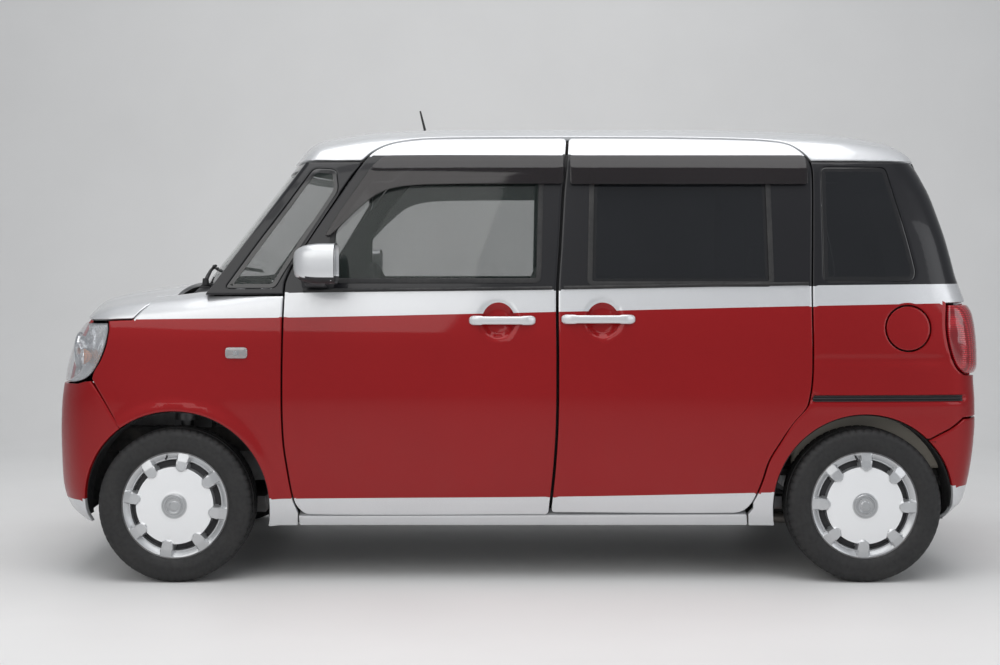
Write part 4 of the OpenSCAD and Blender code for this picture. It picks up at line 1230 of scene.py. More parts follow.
def build_front():
    f = f_low
    # wing: rays from an axis inside it, so side and shoulder are one sheet
    cx, cz = 0.25, 0.72
    def mp(q):
        a = q[:, 1] / 0.45
        d = np.column_stack([np.cos(a), np.zeros(len(q)), np.sin(a)])
        c = np.column_stack([np.full(len(q), cx), q[:, 0], np.full(len(q), cz)])
        return ray_in(f, c, d, 0.9, 0.05)
    def of(p):
        p = np.atleast_2d(p)
        return np.column_stack([p[:, 1], 0.45 * np.arctan2(p[:, 2] - cz, p[:, 0] - cx)])
    P = [on_side(f, [(-766, 197)]), on_side(f, spline([(-762, 244), (-768, 262), (-779, 292), (-799, 406), (-813, 511), (-818, 676), (-815, 946), (-813, 1020)])),
         on_side(f, [(-950, 1020), (-1060, 1020)]), on_top(f, [(642, -1092), (607, -1104), (607, -1200), (607, -1288)]),
         on_side(f, [(-1299, 985), (-1344, 938), (-1352, 934.5), (-1437, 931)]),
         on_side(f, spline([(-1434, 901), (-1444, 845), (-1465, 790), (-1490, 750), (-1498, 724)])), on_side(f, [(-1399, 559)]),
         on_side(f, arc_pts(FY, 337, 125.0, -13.4))]
    q = resample(of(np.vstack(P)))
    def pick(c):
        s = mp(c)
        out = np.full(len(s), RED)
        out[s[:, 2] > BELT_LO(s[:, 1])] = SIL
        out[(s[:, 2] < SKIRT(s[:, 1])) & (s[:, 1] > -1.0)] = SIL
        return out
    ln = [list(map(tuple, of(on_side(f, [(y, float(BELT_LO(y / 1000)) * 1000) for y in np.linspace(-1345, -815, 24)])) * 1000)),
          list(map(tuple, of(on_side(f, [(y, float(SKIRT(y / 1000)) * 1000) for y in np.linspace(-870, -780, 6)])) * 1000))]
    def bump(q2, s):  # flare round the arch
        r = np.hypot(s[:, 1] - FY / 1000, s[:, 2] - WZ / 1000)
        return -0.006 * np.exp(-((r - 0.345) / 0.022) ** 2)
    a = panel("front_fender_skin", [q], mp, f, ["red", "silver", "black"], pick, ln, thick=0.014, roll=0.0022,
              grid=0.013, body="body", bump=bump)
    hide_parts("front_fenders")
    # bonnet
    mb = map_gno(f, NOSE_C, "z", NOSE_H)
    mE = map_end(f, CYF, -1)
    half = [on_top(f, [(300, -1212), (600, -1212), (601, -1284)]), on_side(f, [(-1293, 992), (-1344, 943.5), (-1352, 940.5), (-1430, 938)])]
    e0 = end_of(on_side(f, [(-1430, 938)]), CYF, -1)[0]
    half.append(mE(np.column_stack([np.linspace(e0[0] * 0.97, 0.02, 26), np.full(26, 0.938)])))
    H = np.vstack(half)
    full = np.vstack([H, (H * [-1, 1, 1])[::-1]])
    q = resample(gno_of(full, NOSE_C, "z", NOSE_H))
    def crease(q2, s):
        x = np.abs(s[:, 0])
        return -0.004 * np.exp(-((x - 0.47) / 0.03) ** 2) * np.clip((s[:, 1] + 1.58) / 0.1, 0, 1) * np.clip((-1.22 - s[:, 1]) / 0.05, 0, 1)
    a = panel("bonnet_skin", [q], mb, f, ["silver"], None, [], thick=0.014, roll=0.0025, grid=0.016, body="bonnet",
              mirror=False, bump=crease)
    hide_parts("bonnet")
    # bumper with fascia
    half = [on_front(f, [(0, 929), (200, 929), (380, 929), (384, 925), (384, 704), (390, 698)]),
            mE(np.column_stack([np.linspace(end_of(on_front(f, [(420, 698)]), CYF, -1)[0][0], end_of(on_side(f, [(-1560, 704)]), CYF, -1)[0][0], 20), np.linspace(0.698, 0.704, 20)])),
            on_side(f, spline([(-1533, 712), (-1505, 716), (-1400, 562)], 20)), on_side(f, arc_pts(FY, 337, 126.0, 193.0)),
            ]
    eb = end_of(on_side(f, [(-1530, 200)]), CYF, -1)[0]
    half.append(mE(np.column_stack([np.linspace(eb[0], 0.0, 30), np.full(30, 0.199)])))
    H = np.vstack(half)
    full = np.vstack([H, (H * [-1, 1, 1])[::-1][1:-1]])
    q = resample(end_of(full, CYF, -1))
    gr = [(0, 668), (230, 664), (262, 640), (250, 560), (215, 545), (0, 541), (-215, 545), (-250, 560), (-262, 640), (-230, 664)]
    lo = [(0, 400), (330, 400), (380, 385), (400, 345), (370, 315), (0, 305), (-370, 315), (-400, 345), (-380, 385), (-330, 400)]
    def hole(pts, r):
        return resample(end_of(on_front(f, outline(pts, r=r) * 1000), CYF, -1), 0.006)
    holes = [hole(gr, 0.02), hole(lo, 0.02), resample(end_of(on_front(f, [(-300 + 22 * math.cos(t), 475 + 22 * math.sin(t)) for t in np.linspace(0, 2 * math.pi, 36, endpoint=False)]), CYF, -1), 0.004)]
    def pickb(c):
        s = mE(c)
        out = np.full(len(s), RED)
        out[(s[:, 2] < 0.283)] = SIL
        out[(s[:, 2] > 0.826) & (s[:, 2] < 0.852) & (np.abs(s[:, 0]) < 0.384)] = 3
        return out
    ln = [[(u, 283) for u in np.linspace(-900, 900, 40)], [(u, 826) for u in np.linspace(-440, 440, 60)], [(u, 852) for u in np.linspace(-440, 440, 60)]]
    def bb(q2, s):
        z = s[:, 2]
        return 0.010 * np.exp(-((z - 0.47) / 0.055) ** 2) * np.clip((0.21 - np.abs(s[:, 0])) / 0.04, 0, 1) - 0.004 * np.exp(-((z - 0.839) / 0.018) ** 2) * (np.abs(s[:, 0]) < 0.384)
    a = panel("front_bumper_skin", [q], mE, f, ["red", "silver", "black", "chrome"], pickb, ln, thick=0.012, roll=0.0025,
              grid=0.016, body="body", mirror=False, holes=holes, bump=bb)
    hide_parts("front_bumper")
    for nm, pts, zz in (("upper_grille", gr, (552, 658)), ("lower_grille", lo, (308, 396))):
        V, F = [], []
        n = 0
        for z in np.arange(zz[0], zz[1], 17):
            for s0 in (-1, 1):
                pass
            xs = np.linspace(-395, 395, 40) if nm == "lower_grille" else np.linspace(-258, 258, 28)
            c = on_front(f, [(x, z) for x in xs]) + np.array([0, 0.024, 0])
            for i, p in enumerate(c):
                for dy, dz in ((-0.006, -0.0035), (-0.006, 0.0035), (0.012, 0.0035), (0.012, -0.0035)):
                    V.append(p + [0, dy, dz])
            m = len(c)
            for i in range(m - 1):
                for k in range(4):
                    F.append((n + i * 4 + k, n + i * 4 + (k + 1) % 4, n + (i + 1) * 4 + (k + 1) % 4, n + (i + 1) * 4 + k))
            n += m * 4
        for x in np.arange(-240 if nm == "upper_grille" else -380, 380 if nm == "lower_grille" else 250, 60):
            c = on_front(f, [(x, z) for z in np.linspace(zz[0] - 8, zz[1] + 4, 8)]) + np.array([0, 0.030, 0])
            for p in c:
                for dx, dy in ((-0.003, -0.005), (0.003, -0.005), (0.003, 0.006), (-0.003, 0.006)):
                    V.append(p + [dx, dy, 0])
            m = len(c)
            for i in range(m - 1):
                for k in range(4):
                    F.append((n + i * 4 + k, n + i * 4 + (k + 1) % 4, n + (i + 1) * 4 + (k + 1) % 4, n + (i + 1) * 4 + k))
            n += m * 4
        # dark wall behind the bars: painted shade standing in for the shaded space behind the grille
        xs = np.linspace(-400, 400, 30) if nm == "lower_grille" else np.linspace(-270, 270, 24)
        zs = np.linspace(zz[0] - 14, zz[1] + 12, 6)
        for z in zs:
            c = on_front(f, [(x, z) for x in xs]) + np.array([0, 0.045, 0])
            V += list(c)
        for j in range(len(zs) - 1):
            for i in range(len(xs) - 1):
                b0 = n + j * len(xs) + i
                F.append((b0, b0 + 1, b0 + 1 + len(xs), b0 + len(xs)))
        mesh_object(nm, V, F, ["trim"], body="body")
    return mE


def build_rear():
    f = f_tail
    mE = map_end(f, CYR, 1)
    # tailgate, from the hinge line over the edge and down the back
    ft = f_roof_tail
    mt = map_gno(ft, TAIL_C, "y", TAIL_H)
    side = [(500, 1490)] + [(500 + 20 * t, 1490 - 240 * t) for t in np.linspace(0.1, 1, 10)] + [(520 + 28 * t, 1250 - 250 * t) for t in np.linspace(0.1, 1, 10)] + [(548 + 8 * t, 1000 - 300 * t) for t in np.linspace(0.1, 1, 10)] + [(560, 524)]
    half = [on_top(ft, [(0.001, 1413), (250, 1413), (500, 1413), (500, 1450)]), on_back(ft, side), on_back(ft, [(300, 524), (0.001, 524)])]
    H = np.vstack(half)
    full = np.vstack([H, (H * [-1, 1, 1])[::-1][1:-1]])
    q = resample(gno_of(full, TAIL_C, "y", TAIL_H), 0.010)
    TWP = [(-484, 1040), (484, 1040), (438, 1452), (-438, 1452)]
    hole = resample(gno_of(on_back(ft, outline(TWP, r=0.035) * 1000), TAIL_C, "y", TAIL_H), 0.010)
    def pick(c):
        s = mt(c)
        out = np.full(len(s), RED)
        out[s[:, 2] > 0.995] = SIL
        out[s[:, 2] > 1.063] = BLK
        out[s[:, 2] > 1.505] = SIL
        return out
    def zl(z, w):
        return list(map(tuple, gno_of(on_back(ft, [(x, z) for x in np.linspace(-w, w, 40)]), TAIL_C, "y", TAIL_H) * 1000))
    def bump(q2, s):
        x, z = np.abs(s[:, 0]), s[:, 2]
        rec = np.clip((0.235 - x) / 0.03, 0, 1) * np.clip((0.86 - z) / 0.02, 0, 1) * np.clip((z - 0.66) / 0.02, 0, 1)
        return 0.016 * rec * rec * (3 - 2 * rec)
    a = panel("tailgate_skin", [q], mt, ft, ["red", "silver", "black"], pick, [zl(995, 550), zl(1063, 545), zl(1505, 498)],
              thick=0.03, roll=0.0025, grid=0.016, body="tailgate", mirror=False, holes=[hole], bump=bump)
    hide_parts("tailgate")
    # rear bumper
    half = [on_back(f, [(0.001, 514), (300, 514), (560, 514), (566, 520), (566, 584)]), on_side(f, [(1616, 580), (1563, 543), (1491, 507)]),
            on_side(f, arc_pts(RY, 325, 45.5, -13.5))]
    eb = end_of(on_side(f, [(1572, 200)]), CYR, 1)[0]
    half.append(mE(np.column_stack([np.linspace(eb[0] * 0.99, 0.0005, 26), np.full(26, 0.203)])))
    H = np.vstack(half)
    full = np.vstack([H, (H * [-1, 1, 1])[::-1][1:-1]])
    q = resample(end_of(full, CYR, 1))
    def pickb(c):
        s = mE(c)
        out = np.full(len(s), RED)
        out[s[:, 2] < 0.338] = SIL
        return out
    a = panel("rear_bumper_skin", [q], mE, f, ["red", "silver"], pickb, [[(u, 338) for u in np.linspace(-900, 900, 60)]], thick=0.012,
              roll=0.0025, grid=0.016, body="body", mirror=False)
    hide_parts("rear_bumper")


def f_roof_tail(p):
    return smax(d_side(p), d_rear(p), 0.06)


def build_roof():
    f = f_roof
    mr = map_gno(f, ROOF_C, "z", ROOF_H)
    top = [(-536, 1516), (-509, 1543), (-467, 1568), (-421, 1583), (-354, 1594), (-260, 1600), (-100, 1602), (200, 1603), (585, 1601), (826, 1596),
           (946, 1589), (1009, 1576), (1053, 1547), (1080, 1516)]
    half = [on_front(f, [(x, 1511) for x in np.linspace(0.001, 560, 20)]), on_side(f, [(-726, 1511), (-640, 1511), (-545, 1511)]),
            on_side(f, spline(top)), on_side(f, [(1086, 1509), (1200, 1509), (1300, 1509), (1400, 1509), (1440, 1509)]),
            on_back(f, [(560, 1509), (507, 1509)]), on_top(f, [(507, 1440), (507, 1405), (250, 1405), (0.001, 1405)])]
    H = np.vstack(half)
    full = np.vstack([H, (H * [-1, 1, 1])[::-1][1:-1]])
    q = resample(gno_of(full, ROOF_C, "z", ROOF_H), 0.010)
    def ribs(q2, s):
        x = np.abs(s[:, 0])
        fade = np.clip((s[:, 1] + 0.45) / 0.15, 0, 1) * np.clip((1.25 - s[:, 1]) / 0.15, 0, 1)
        return 0.004 * np.exp(-((x - 0.44) / 0.012) ** 2) * fade
    a = panel("roof_skin", [q], mr, f, ["silver"], None, [], thick=0.016, roll=0.0025, grid=0.018, body="body",
              mirror=False, bump=ribs)
    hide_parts("roof_panel")


# ------------------------------------------------------------------ solids of revolution, boxes, tubes
def lathe(name, prof, mats, seg=96, fmat=None, at=(0, 0, 0), sx=1, body=None, smooth=32, closed=False):
    """Profile of (x outwards along the axle, r); spun about X."""
    V, F, M = [], [], []
    n = len(prof)
    for k in range(seg):
        a = 2 * math.pi * k / seg
        for x, r in prof:
            V.append((at[0] + sx * x, at[1] + r * math.cos(a), at[2] + r * math.sin(a)))
    for k in range(seg):
        k2 = (k + 1) % seg
        for i in range(n if closed else n - 1):
            i2 = (i + 1) % n
            f = (k * n + i, k * n + i2, k2 * n + i2, k2 * n + i)
            F.append(f if sx > 0 else f[::-1])
            M.append(fmat[i] if fmat else 0)
    return mesh_object(name, V, F, mats, M, smooth=smooth, body=body)


def join_data(parts):
    """Joins (verts, faces, mat) triples."""
    V, F, M, b = [], [], [], 0
    for v, f, m in parts:
        V += [tuple(p) for p in v]
        F += [tuple(b + i for i in q) for q in f]
        M += list(m) if hasattr(m, "__len__") else [m] * len(f)
        b += len(v)
    return V, F, M


def rbox(c, s, r=0.006, seg=3, mat=0, taper=None, rot=None):
    """Rounded box data: centre, size; a superellipsoid-like bevel made from a bmesh."""
    bm = bmesh.new()
    bmesh.ops.create_cube(bm, size=1.0)
    for v in bm.verts:
        v.co = Vector((v.co.x * s[0], v.co.y * s[1], v.co.z * s[2]))
        if taper:
            k = (v.co.z / s[2] + 0.5)
            v.co.x *= 1 + (taper[0] - 1) * k
            v.co.y *= 1 + (taper[1] - 1) * k
    if r > 0:
        bmesh.ops.bevel(bm, geom=list(bm.edges), offset=min(r, min(s) * 0.49), segments=seg, profile=0.5, affect="EDGES")
    m = Matrix.Translation(Vector(c))
    if rot:
        m = m @ rot
    V = [tuple(m @ v.co) for v in bm.verts]
    bm.verts.index_update()
    F = [tuple(v.index for v in f.verts) for f in bm.faces]
    bm.free()
    return V, F, [mat] * len(F)


def tube(path, r, seg=12, mat=0, cap=True):
    P = [Vector(p) for p in path]
    V, F = [], []
    up = Vector((0, 0, 1))
    rr = r if hasattr(r, "__len__") else [r] * len(P)
    prev = None
    for i, p in enumerate(P):
        t = (P[min(i + 1, len(P) - 1)] - P[max(i - 1, 0)]).normalized()
        if prev is None:
            s = t.cross(up) if abs(t.dot(up)) < 0.95 else t.cross(Vector((1, 0, 0)))
        else:
            s = prev - t * prev.dot(t)
        s.normalize()
        prev = s
        u = s.cross(t)
        for k in range(seg):
            a = 2 * math.pi * k / seg
            V.append(tuple(p + (s * math.cos(a) + u * math.sin(a)) * rr[i]))
    for i in range(len(P) - 1):
        for k in range(seg):
            k2 = (k + 1) % seg
            F.append((i * seg + k, i * seg + k2, (i + 1) * seg + k2, (i + 1) * seg + k))
    if cap:
        F.append(tuple(range(seg))[::-1])
        F.append(tuple((len(P) - 1) * seg + k for k in range(seg)))
    return V, F, [mat] * len(F)


def loft(sections, mat=0, cap=True):
    """Sections of equal length, joined in order."""
    V, F = [], []
    n = len(sections[0])
    for s in sections:
        V += [tuple(p) for p in s]
    for i in range(len(sections) - 1):
        for k in range(n):
            k2 = (k + 1) % n
            F.append((i * n + k, i * n + k2, (i + 1) * n + k2, (i + 1) * n + k))
    if cap:
        F.append(tuple(range(n))[::-1])
        F.append(tuple((len(sections) - 1) * n + k for k in range(n)))
    return V, F, [mat] * len(F)


def fix_normals(ob):
    bm = bmesh.new()
    bm.from_mesh(ob.data)
    bmesh.ops.recalc_face_normals(bm, faces=bm.faces)
    bm.to_mesh(ob.data)
    bm.free()
    return ob


# ------------------------------------------------------------------ wheels
WHEELS = (("front_left", 1, FY / 1000), ("front_right", -1, FY / 1000), ("rear_left", 1, RY / 1000), ("rear_right", -1, RY / 1000))
TX = 0.650  # tyre centre


def tyre_data(seg):
    """Radial tyre, 155/65R14, with a cut tread: ribs by depth of the profile at each step round."""
    hw, R, rb = 0.0775, 0.275, 0.186
    xs = np.linspace(-0.058, 0.058, 33)
    groove = [(-0.030, 0.0035), (0.0, 0.0035), (0.030, 0.0035)]
    shoulder = [(0.0755, 0.236), (0.0765, 0.246), (0.0745, 0.256), (0.0705, 0.2635), (0.0655, 0.2690), (0.0620, 0.2715)]
    wall = [(0.0560, 0.1790), (0.0600, 0.1830), (0.0625, 0.1885), (0.0665, 0.1925), (0.0695, 0.1960), (0.0735, 0.2060), (0.0762, 0.2160), (0.0775, 0.2260)]
    V, F, M = [], [], []
    right = wall + shoulder
    left = [(-x, r) for x, r in right][::-1]
    n = len(right) + len(xs) + len(left)
    for k in range(seg):
        a = 2 * math.pi * k / seg
        ph = (k * 1.0 / seg) * 60  # sixty blocks
        fr = ph % 1.0
        row = []
        for x, r in right:
            rr = r
            if r > 0.255 and fr < 0.18:
                rr -= 0.003 * min(1, (r - 0.255) / 0.01)
            if 0.208 < r < 0.212:
                rr = r
            row.append((x, rr))
        for x in xs[::-1]:
            crown = R - 0.0018 * (x / 0.058) ** 2
            d = 0.0
            for g, w in groove:
                if abs(x - g) < w:
                    d = 0.0065
            lug = (ph + (0.5 if x > 0 else 0.0) + abs(x) * 9) % 1.0
            if abs(x) > 0.036 and lug < 0.16:
                d = max(d, 0.0055)
            if 0.006 < abs(x) < 0.024 and ((ph * 1.0 + x * 30) % 1.0) < 0.09:
                d = max(d, 0.003)
            row.append((x, crown - d))
        for x, r in left:
            rr = r
            if r > 0.255 and fr < 0.18:
                rr -= 0.003 * min(1, (r - 0.255) / 0.01)
            row.append((x, rr))
        for x, r in row:
            V.append((x, r * math.cos(a), r * math.sin(a)))
    for k in range(seg):
        k2 = (k + 1) % seg
        for i in range(n - 1):
            F.append((k * n + i, k2 * n + i, k2 * n + i + 1, k * n + i + 1))
    return V, F


def cover_data(seg=288, phase=0.0):
    """Steel-wheel trim: outer ring, eight petals reaching in over the disc, slots between them closed by black floors
    that are painted shade for the openings, stepped blank centre. (x outwards)
    """
    rad = np.array([0.0, 0.008, 0.014, 0.0175, 0.020, 0.026, 0.0275, 0.031, 0.0325, 0.0385, 0.0405, 0.0425, 0.046, 0.060, 0.078, 0.096, 0.106, 0.112, 0.116, 0.119, 0.122, 0.125,
                    0.128, 0.131, 0.1335, 0.1355, 0.1375, 0.140, 0.143, 0.146, 0.149, 0.152, 0.155, 0.1575, 0.160, 0.163, 0.167, 0.171, 0.175, 0.179, 0.183, 0.1865, 0.1895, 0.192, 0.1938, 0.1945])
    V, F, M = [], [], []
    P = math.pi / 4

    def petal(r, a):
        """1 on a petal, falling to 0 at its edge: a finger 30 mm wide with a round inner end."""
        t = (a + P / 2) % P - P / 2
        u, w = r * math.cos(t), r * math.sin(t)
        half = 0.0225 + 0.05 * max(0.0, u - 0.155)
        d = abs(w) - half if u > 0.1455 else math.hypot(u - 0.1455, w) - half
        return min(1.0, max(0.0, -d / 0.0045 + 0.35))

    def depth(r, a):
        dome = 0.010 + 0.016 * (1 - (r / 0.19) ** 2)
        p = petal(r, a) if 0.112 < r < 0.1925 else 0.0
        if r < 0.0435:
            d = dome + (0.0045 if r < 0.0405 else 0.0025)
            if 0.0275 <= r <= 0.0315 or 0.0175 <= r <= 0.0205:
                d -= 0.0020
            return d, 2
        if r < 0.1395:
            return max(dome + 0.001, dome + 0.0075 * p), (0 if p > 0.45 else 1)
        if r < 0.1605:
            if p > 0.0:
                return dome + 0.0075 * p - 0.022 * (1 - min(1, p * 2.2)), 0
            # slot floor, material 3 (black trim): painted shade standing in for the open slot onto the wheel behind
            return dome - 0.026, 3
        ring = -0.006 + 0.018 * min(1.0, (r - 0.1605) / 0.024) ** 0.8
        if r > 0.1915:
            ring -= 0.005
        return max(ring + 0.000, (dome + 0.0075 - 0.20 * max(0.0, r - 0.160)) * p), 0
    n = len(rad)
    MM = np.zeros((seg, n), int)
    for k in range(seg):
        a = 2 * math.pi * k / seg
        for i, r in enumerate(rad):
            d, m = depth(r, a)
            MM[k, i] = m
            V.append((d, r * math.cos(a + phase), r * math.sin(a + phase)))
    for k in range(seg):
        k2 = (k + 1) % seg
        for i in range(n - 1):
            F.append((k * n + i, k * n + i + 1, k2 * n + i + 1, k2 * n + i))
            ms = [MM[k, i], MM[k, i + 1], MM[k2, i + 1], MM[k2, i]]
            if 3 in ms:
                M.append(3 if ms.count(3) >= 3 else 0)
            else:
                rm = (rad[i] + rad[i + 1]) / 2
                M.append(2 if rm < 0.0420 else (1 if ms.count(1) >= 3 else 0))
    return V, F, M


def build_wheels():
    seg = 360
    TV, TF = tyre_data(seg)
    TV = np.array(TV)
    for nm, s, y in WHEELS:
        body = nm + "_wheel"
        v = TV * [s, 1, 1] + [s * TX, y, WZ / 1000]
        f = TF if s > 0 else [q[::-1] for q in TF]
        t = mesh_object(nm + "_tyre_skin", v, f, ["tyre"], smooth=50, body=body)
        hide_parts(nm + "_tyre")
        ph = math.radians(35 if nm.startswith("front") else 43)
        CV, CF, CM = cover_data(240, ph)
        CV = np.array(CV)
        parts = []
        parts.append((CV * [1, 1, 1] + [0.050, 0, 0], CF, CM))
        # rim barrel behind the cover
        prof = [(0.058, 0.1945), (0.064, 0.1925), (0.066, 0.189), (0.062, 0.1860), (0.056, 0.1820), (0.050, 0.178), (0.035, 0.170), (-0.035, 0.166), (-0.050, 0.178),
                (-0.056, 0.182), (-0.062, 0.186), (-0.066, 0.189), (-0.062, 0.1945), (-0.055, 0.187), (-0.048, 0.174), (-0.034, 0.160), (0.030, 0.160), (0.034, 0.120), (0.030, 0.060), (0.030, 0.0)]
        V, F = [], []
        n = len(prof)
        sg = 96
        for k in range(sg):
            a = 2 * math.pi * k / sg
            for x, r in prof:
                V.append((x, r * math.cos(a), r * math.sin(a)))
        for k in range(sg):
            for i in range(n - 1):
                F.append((k * n + i, k * n + i + 1, ((k + 1) % sg) * n + i + 1, ((k + 1) % sg) * n + i))
        parts.append((V, F, [4] * len(F)))
        # valve
        a = math.radians(100)
        p0 = np.array([0.056, 0.1745 * math.cos(a), 0.1745 * math.sin(a)])
        parts.append(tube([p0, p0 + [0.014, -0.004 * math.cos(a), -0.004 * math.sin(a)], p0 + [0.018, -0.005 * math.cos(a), -0.005 * math.sin(a)]], [0.0035, 0.0035, 0.0042], 10, 3))
        V, F, M = join_data(parts)
        V = np.array(V) * [s, 1, 1] + [s * TX, y, WZ / 1000]
        if s < 0:
            F = [q[::-1] for q in F]
        # material 3, trim, colours the closed slot floors of the cover black as painted shade
        w = mesh_object(nm + "_wheel_trim", V, F, ["wheel_silver", "wheel_white", "wheel_silver2", "trim", "steel"], M, smooth=28, body=body)
        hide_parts(nm + "_wheel")
        # brake disc or drum on the fixed side is CAD; add a disc on the wheel body
        prof = [(-0.030, 0.060), (-0.030, 0.118), (-0.022, 0.1185), (-0.022, 0.062), (0.010, 0.060), (0.010, 0.030)]
        lathe(nm + "_brake_disc", prof, ["brake"], 64, at=(s * TX, y, WZ / 1000), sx=s, body=body)


# ------------------------------------------------------------------ arch liners
def build_liners():
    for y0, r, x0, nm, zf in ((FY / 1000, 0.334, 0.400, "front", 0.0), (RY / 1000, 0.322, 0.556, "rear", 0.0)):
        V, F = [], []
        A = np.linspace(math.radians(-8), math.radians(188), 60)
        f = f_low if nm == "front" else f_tail
        for a in A:
            p = np.array([[0.92, y0 + r * math.cos(a), WZ / 1000 + r * math.sin(a)]])
            xs = shoot(f, p, np.array([-1.0, 0, 0]), 0.9)[0][0] - 0.016
            for x in np.linspace(x0 if nm == "rear" else 0.572, xs, 6):
                V.append((x, p[0, 1], p[0, 2]))
        for i in range(len(A) - 1):
            for k in range(5):
                F.append((i * 6 + k, i * 6 + k + 1, (i + 1) * 6 + k + 1, (i + 1) * 6 + k))
        for s, side in ((1, "left"), (-1, "right")):
            VV = np.array(V) * [s, 1, 1]
            ob = mesh_object(f"{side}_{nm}_arch_liner", VV, F if s > 0 else [q[::-1] for q in F], ["liner"], body="body")
            so = ob.modifiers.new("t", "SOLIDIFY")
            so.thickness = 0.003
            so.offset = 1


# ------------------------------------------------------------------ lamps
def solid_front(poly, mp, f, thick, name, mats, pick=None, body="body", slot=None, roll=0.004, grid=0.02, lines=(), bump=None, offset=0.0, mirror=True, back=True, holes=()):
    return panel(name, [poly], mp, f, mats, pick, lines, thick=thick, roll=roll, grid=grid, body=body, bump=bump,
                 offset=offset, mirror=mirror, back=back, holes=holes)


def build_lamps():
    mE = map_end(f_low, CYF, -1)
    top = 0.925
    # outline of the headlight from the middle edge, round the corner, to the side
    e1 = end_of(on_front(f_low, [(394, 925), (394, 704)]), CYF, -1)
    side = end_of(on_side(f_low, spline([(-1442, 925), (-1439, 901), (-1449, 847), (-1470, 793), (-1497, 751), (-1533, 722), (-1575, 710)], 12)), CYF, -1)
    bott = np.column_stack([np.linspace(e1[1][0], side[-1][0], 16), np.linspace(0.703, 0.708, 16)])
    topl = np.column_stack([np.linspace(side[0][0], e1[0][0], 18), np.full(18, top)])
    P = np.vstack([bott[:-1], side[::-1][:-1], topl])
    o = resample(P, 0.010)
    o = outline(o * 1000, r=0.016, corner=50) if False else o
    def dome(q2, s):
        d = edge_distance(o, q2)
        return -0.008 * np.clip(d / 0.05, 0, 1) ** 0.6
    a = panel("headlight_lens", [push(o, 0.0015)], mE, f_low, ["lens_clear"], None, [], thick=0.004, roll=0.004, grid=0.018, body="body",
              bump=dome, offset=-0.004)
    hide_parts("headlights")
    # housing behind the lens
    def pan(q2, s):
        d = edge_distance(o, q2)
        return 0.036 * np.clip(d / 0.040, 0, 1)
    panel("headlight_housing", [push(o, 0.003)], mE, f_low, ["bezel", "piano"],
          lambda c: (edge_distance(o, c) < 0.008).astype(int), [], thick=0.003, roll=0.001, grid=0.016, body="body",
          bump=pan, offset=-0.010)
    # reflector bowls with chrome rims
    for s, side_ in ((1, "left"), (-1, "right")):
        parts = []
        for (x, z, r, m) in ((0.470, 0.812, 0.066, 0), (0.575, 0.835, 0.044, 0), (0.640, 0.800, 0.030, 2)):
            q = on_front(f_low, [(x * 1000, z * 1000)])[0]
            ax = np.array([0, 1.0, 0]) if x < 0.6 else np.array([-0.35, 0.93, 0])
            c = q + ax * 0.012
            prof = [(0.0, r), (0.001, r + 0.004), (0.004, r + 0.005), (0.004, r), (0.012, r * 0.92), (0.024, r * 0.70), (0.032, r * 0.42), (0.036, r * 0.18), (0.036, 0.0)]
            pr = [(0.004, r), (0.012, r * 0.92), (0.024, r * 0.70), (0.032, r * 0.42), (0.036, r * 0.18), (0.030, r * 0.16), (0.016, r * 0.15), (0.012, r * 0.09), (0.010, 0.0)]
            u = np.cross(ax, [0, 0, 1.0]); u /= np.linalg.norm(u); w = np.cross(u, ax)
            for pf, mt in ((prof[:4], 1), (pr, 0)):
                V, F = [], []
                n = len(pf)
                for k in range(40):
                    aa = 2 * math.pi * k / 40
                    for d, rr in pf:
                        V.append(c + ax * (d + 0.006) + (u * math.cos(aa) + w * math.sin(aa)) * rr)
                for k in range(40):
                    for i in range(n - 1):
                        F.append((k * n + i, k * n + i + 1, ((k + 1) % 40) * n + i + 1, ((k + 1) % 40) * n + i))
                parts.append((V, F, [mt if not (m and mt == 0) else 2] * len(F)))
        V, F, M = join_data(parts)
        V = np.array(V) * [s, 1, 1]
        ob = mesh_object(side_ + "_headlight_reflectors", V, F, ["reflector", "chrome", "lens_amber"], M, smooth=40, body="body")
    # tail lamps
    mR = map_end(f_tail, CYR, 1)
    b1 = end_of(on_back(f_tail, [(568, 738), (568, 989)]), CYR, 1)
    sd = end_of(on_side(f_tail, spline([(1559, 989), (1555, 897), (1570, 818), (1591, 768), (1618, 744)], 12)), CYR, 1)
    P = np.vstack([b1[::1], np.column_stack([np.linspace(b1[1][0], sd[0][0], 8), np.full(8, 0.989)])[1:-1], sd, np.column_stack([np.linspace(sd[-1][0], b1[0][0], 8), np.linspace(0.744, 0.738, 8)])[1:-1]])
    oT = resample(P, 0.009)
    def domeT(q2, s):
        d = edge_distance(oT, q2)
        return -0.014 * np.clip(d / 0.03, 0, 1) ** 0.6
    def pk(c):
        s = mR(c)
        out = np.zeros(len(c), int)
        back = s[:, 0] < 0.640
        out[back & (s[:, 2] > 0.846) & (s[:, 2] < 0.872)] = 1
        out[back & (s[:, 2] > 0.822) & (s[:, 2] <= 0.846)] = 2
        return out
    uT = end_of(on_back(f_tail, [(640, 846)]), CYR, 1)[0][0] * 1000
    lnT = [[(u, z) for u in np.linspace(100, uT, 50)] for z in (822, 846, 872)]
    lnT.append([tuple(end_of(on_back(f_tail, [(640, z)]), CYR, 1)[0] * 1000) for z in np.linspace(816, 878, 8)])
    a = panel("tail_lamp_lens", [push(oT, 0.001)], mR, f_tail, ["lens_red", "lens_amber", "lens_white"], pk, lnT, thick=0.02, roll=0.004,
              grid=0.014, body="body", bump=domeT)
    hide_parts("tail_lights")
    # points for a red garnish under the lamp; no garnish is built
    g1 = end_of(on_back(f_tail, [(568, 712), (568, 734)]), CYR, 1)
    g2 = end_of(on_side(f_tail, [(1600, 740), (1600, 716)]), CYR, 1)
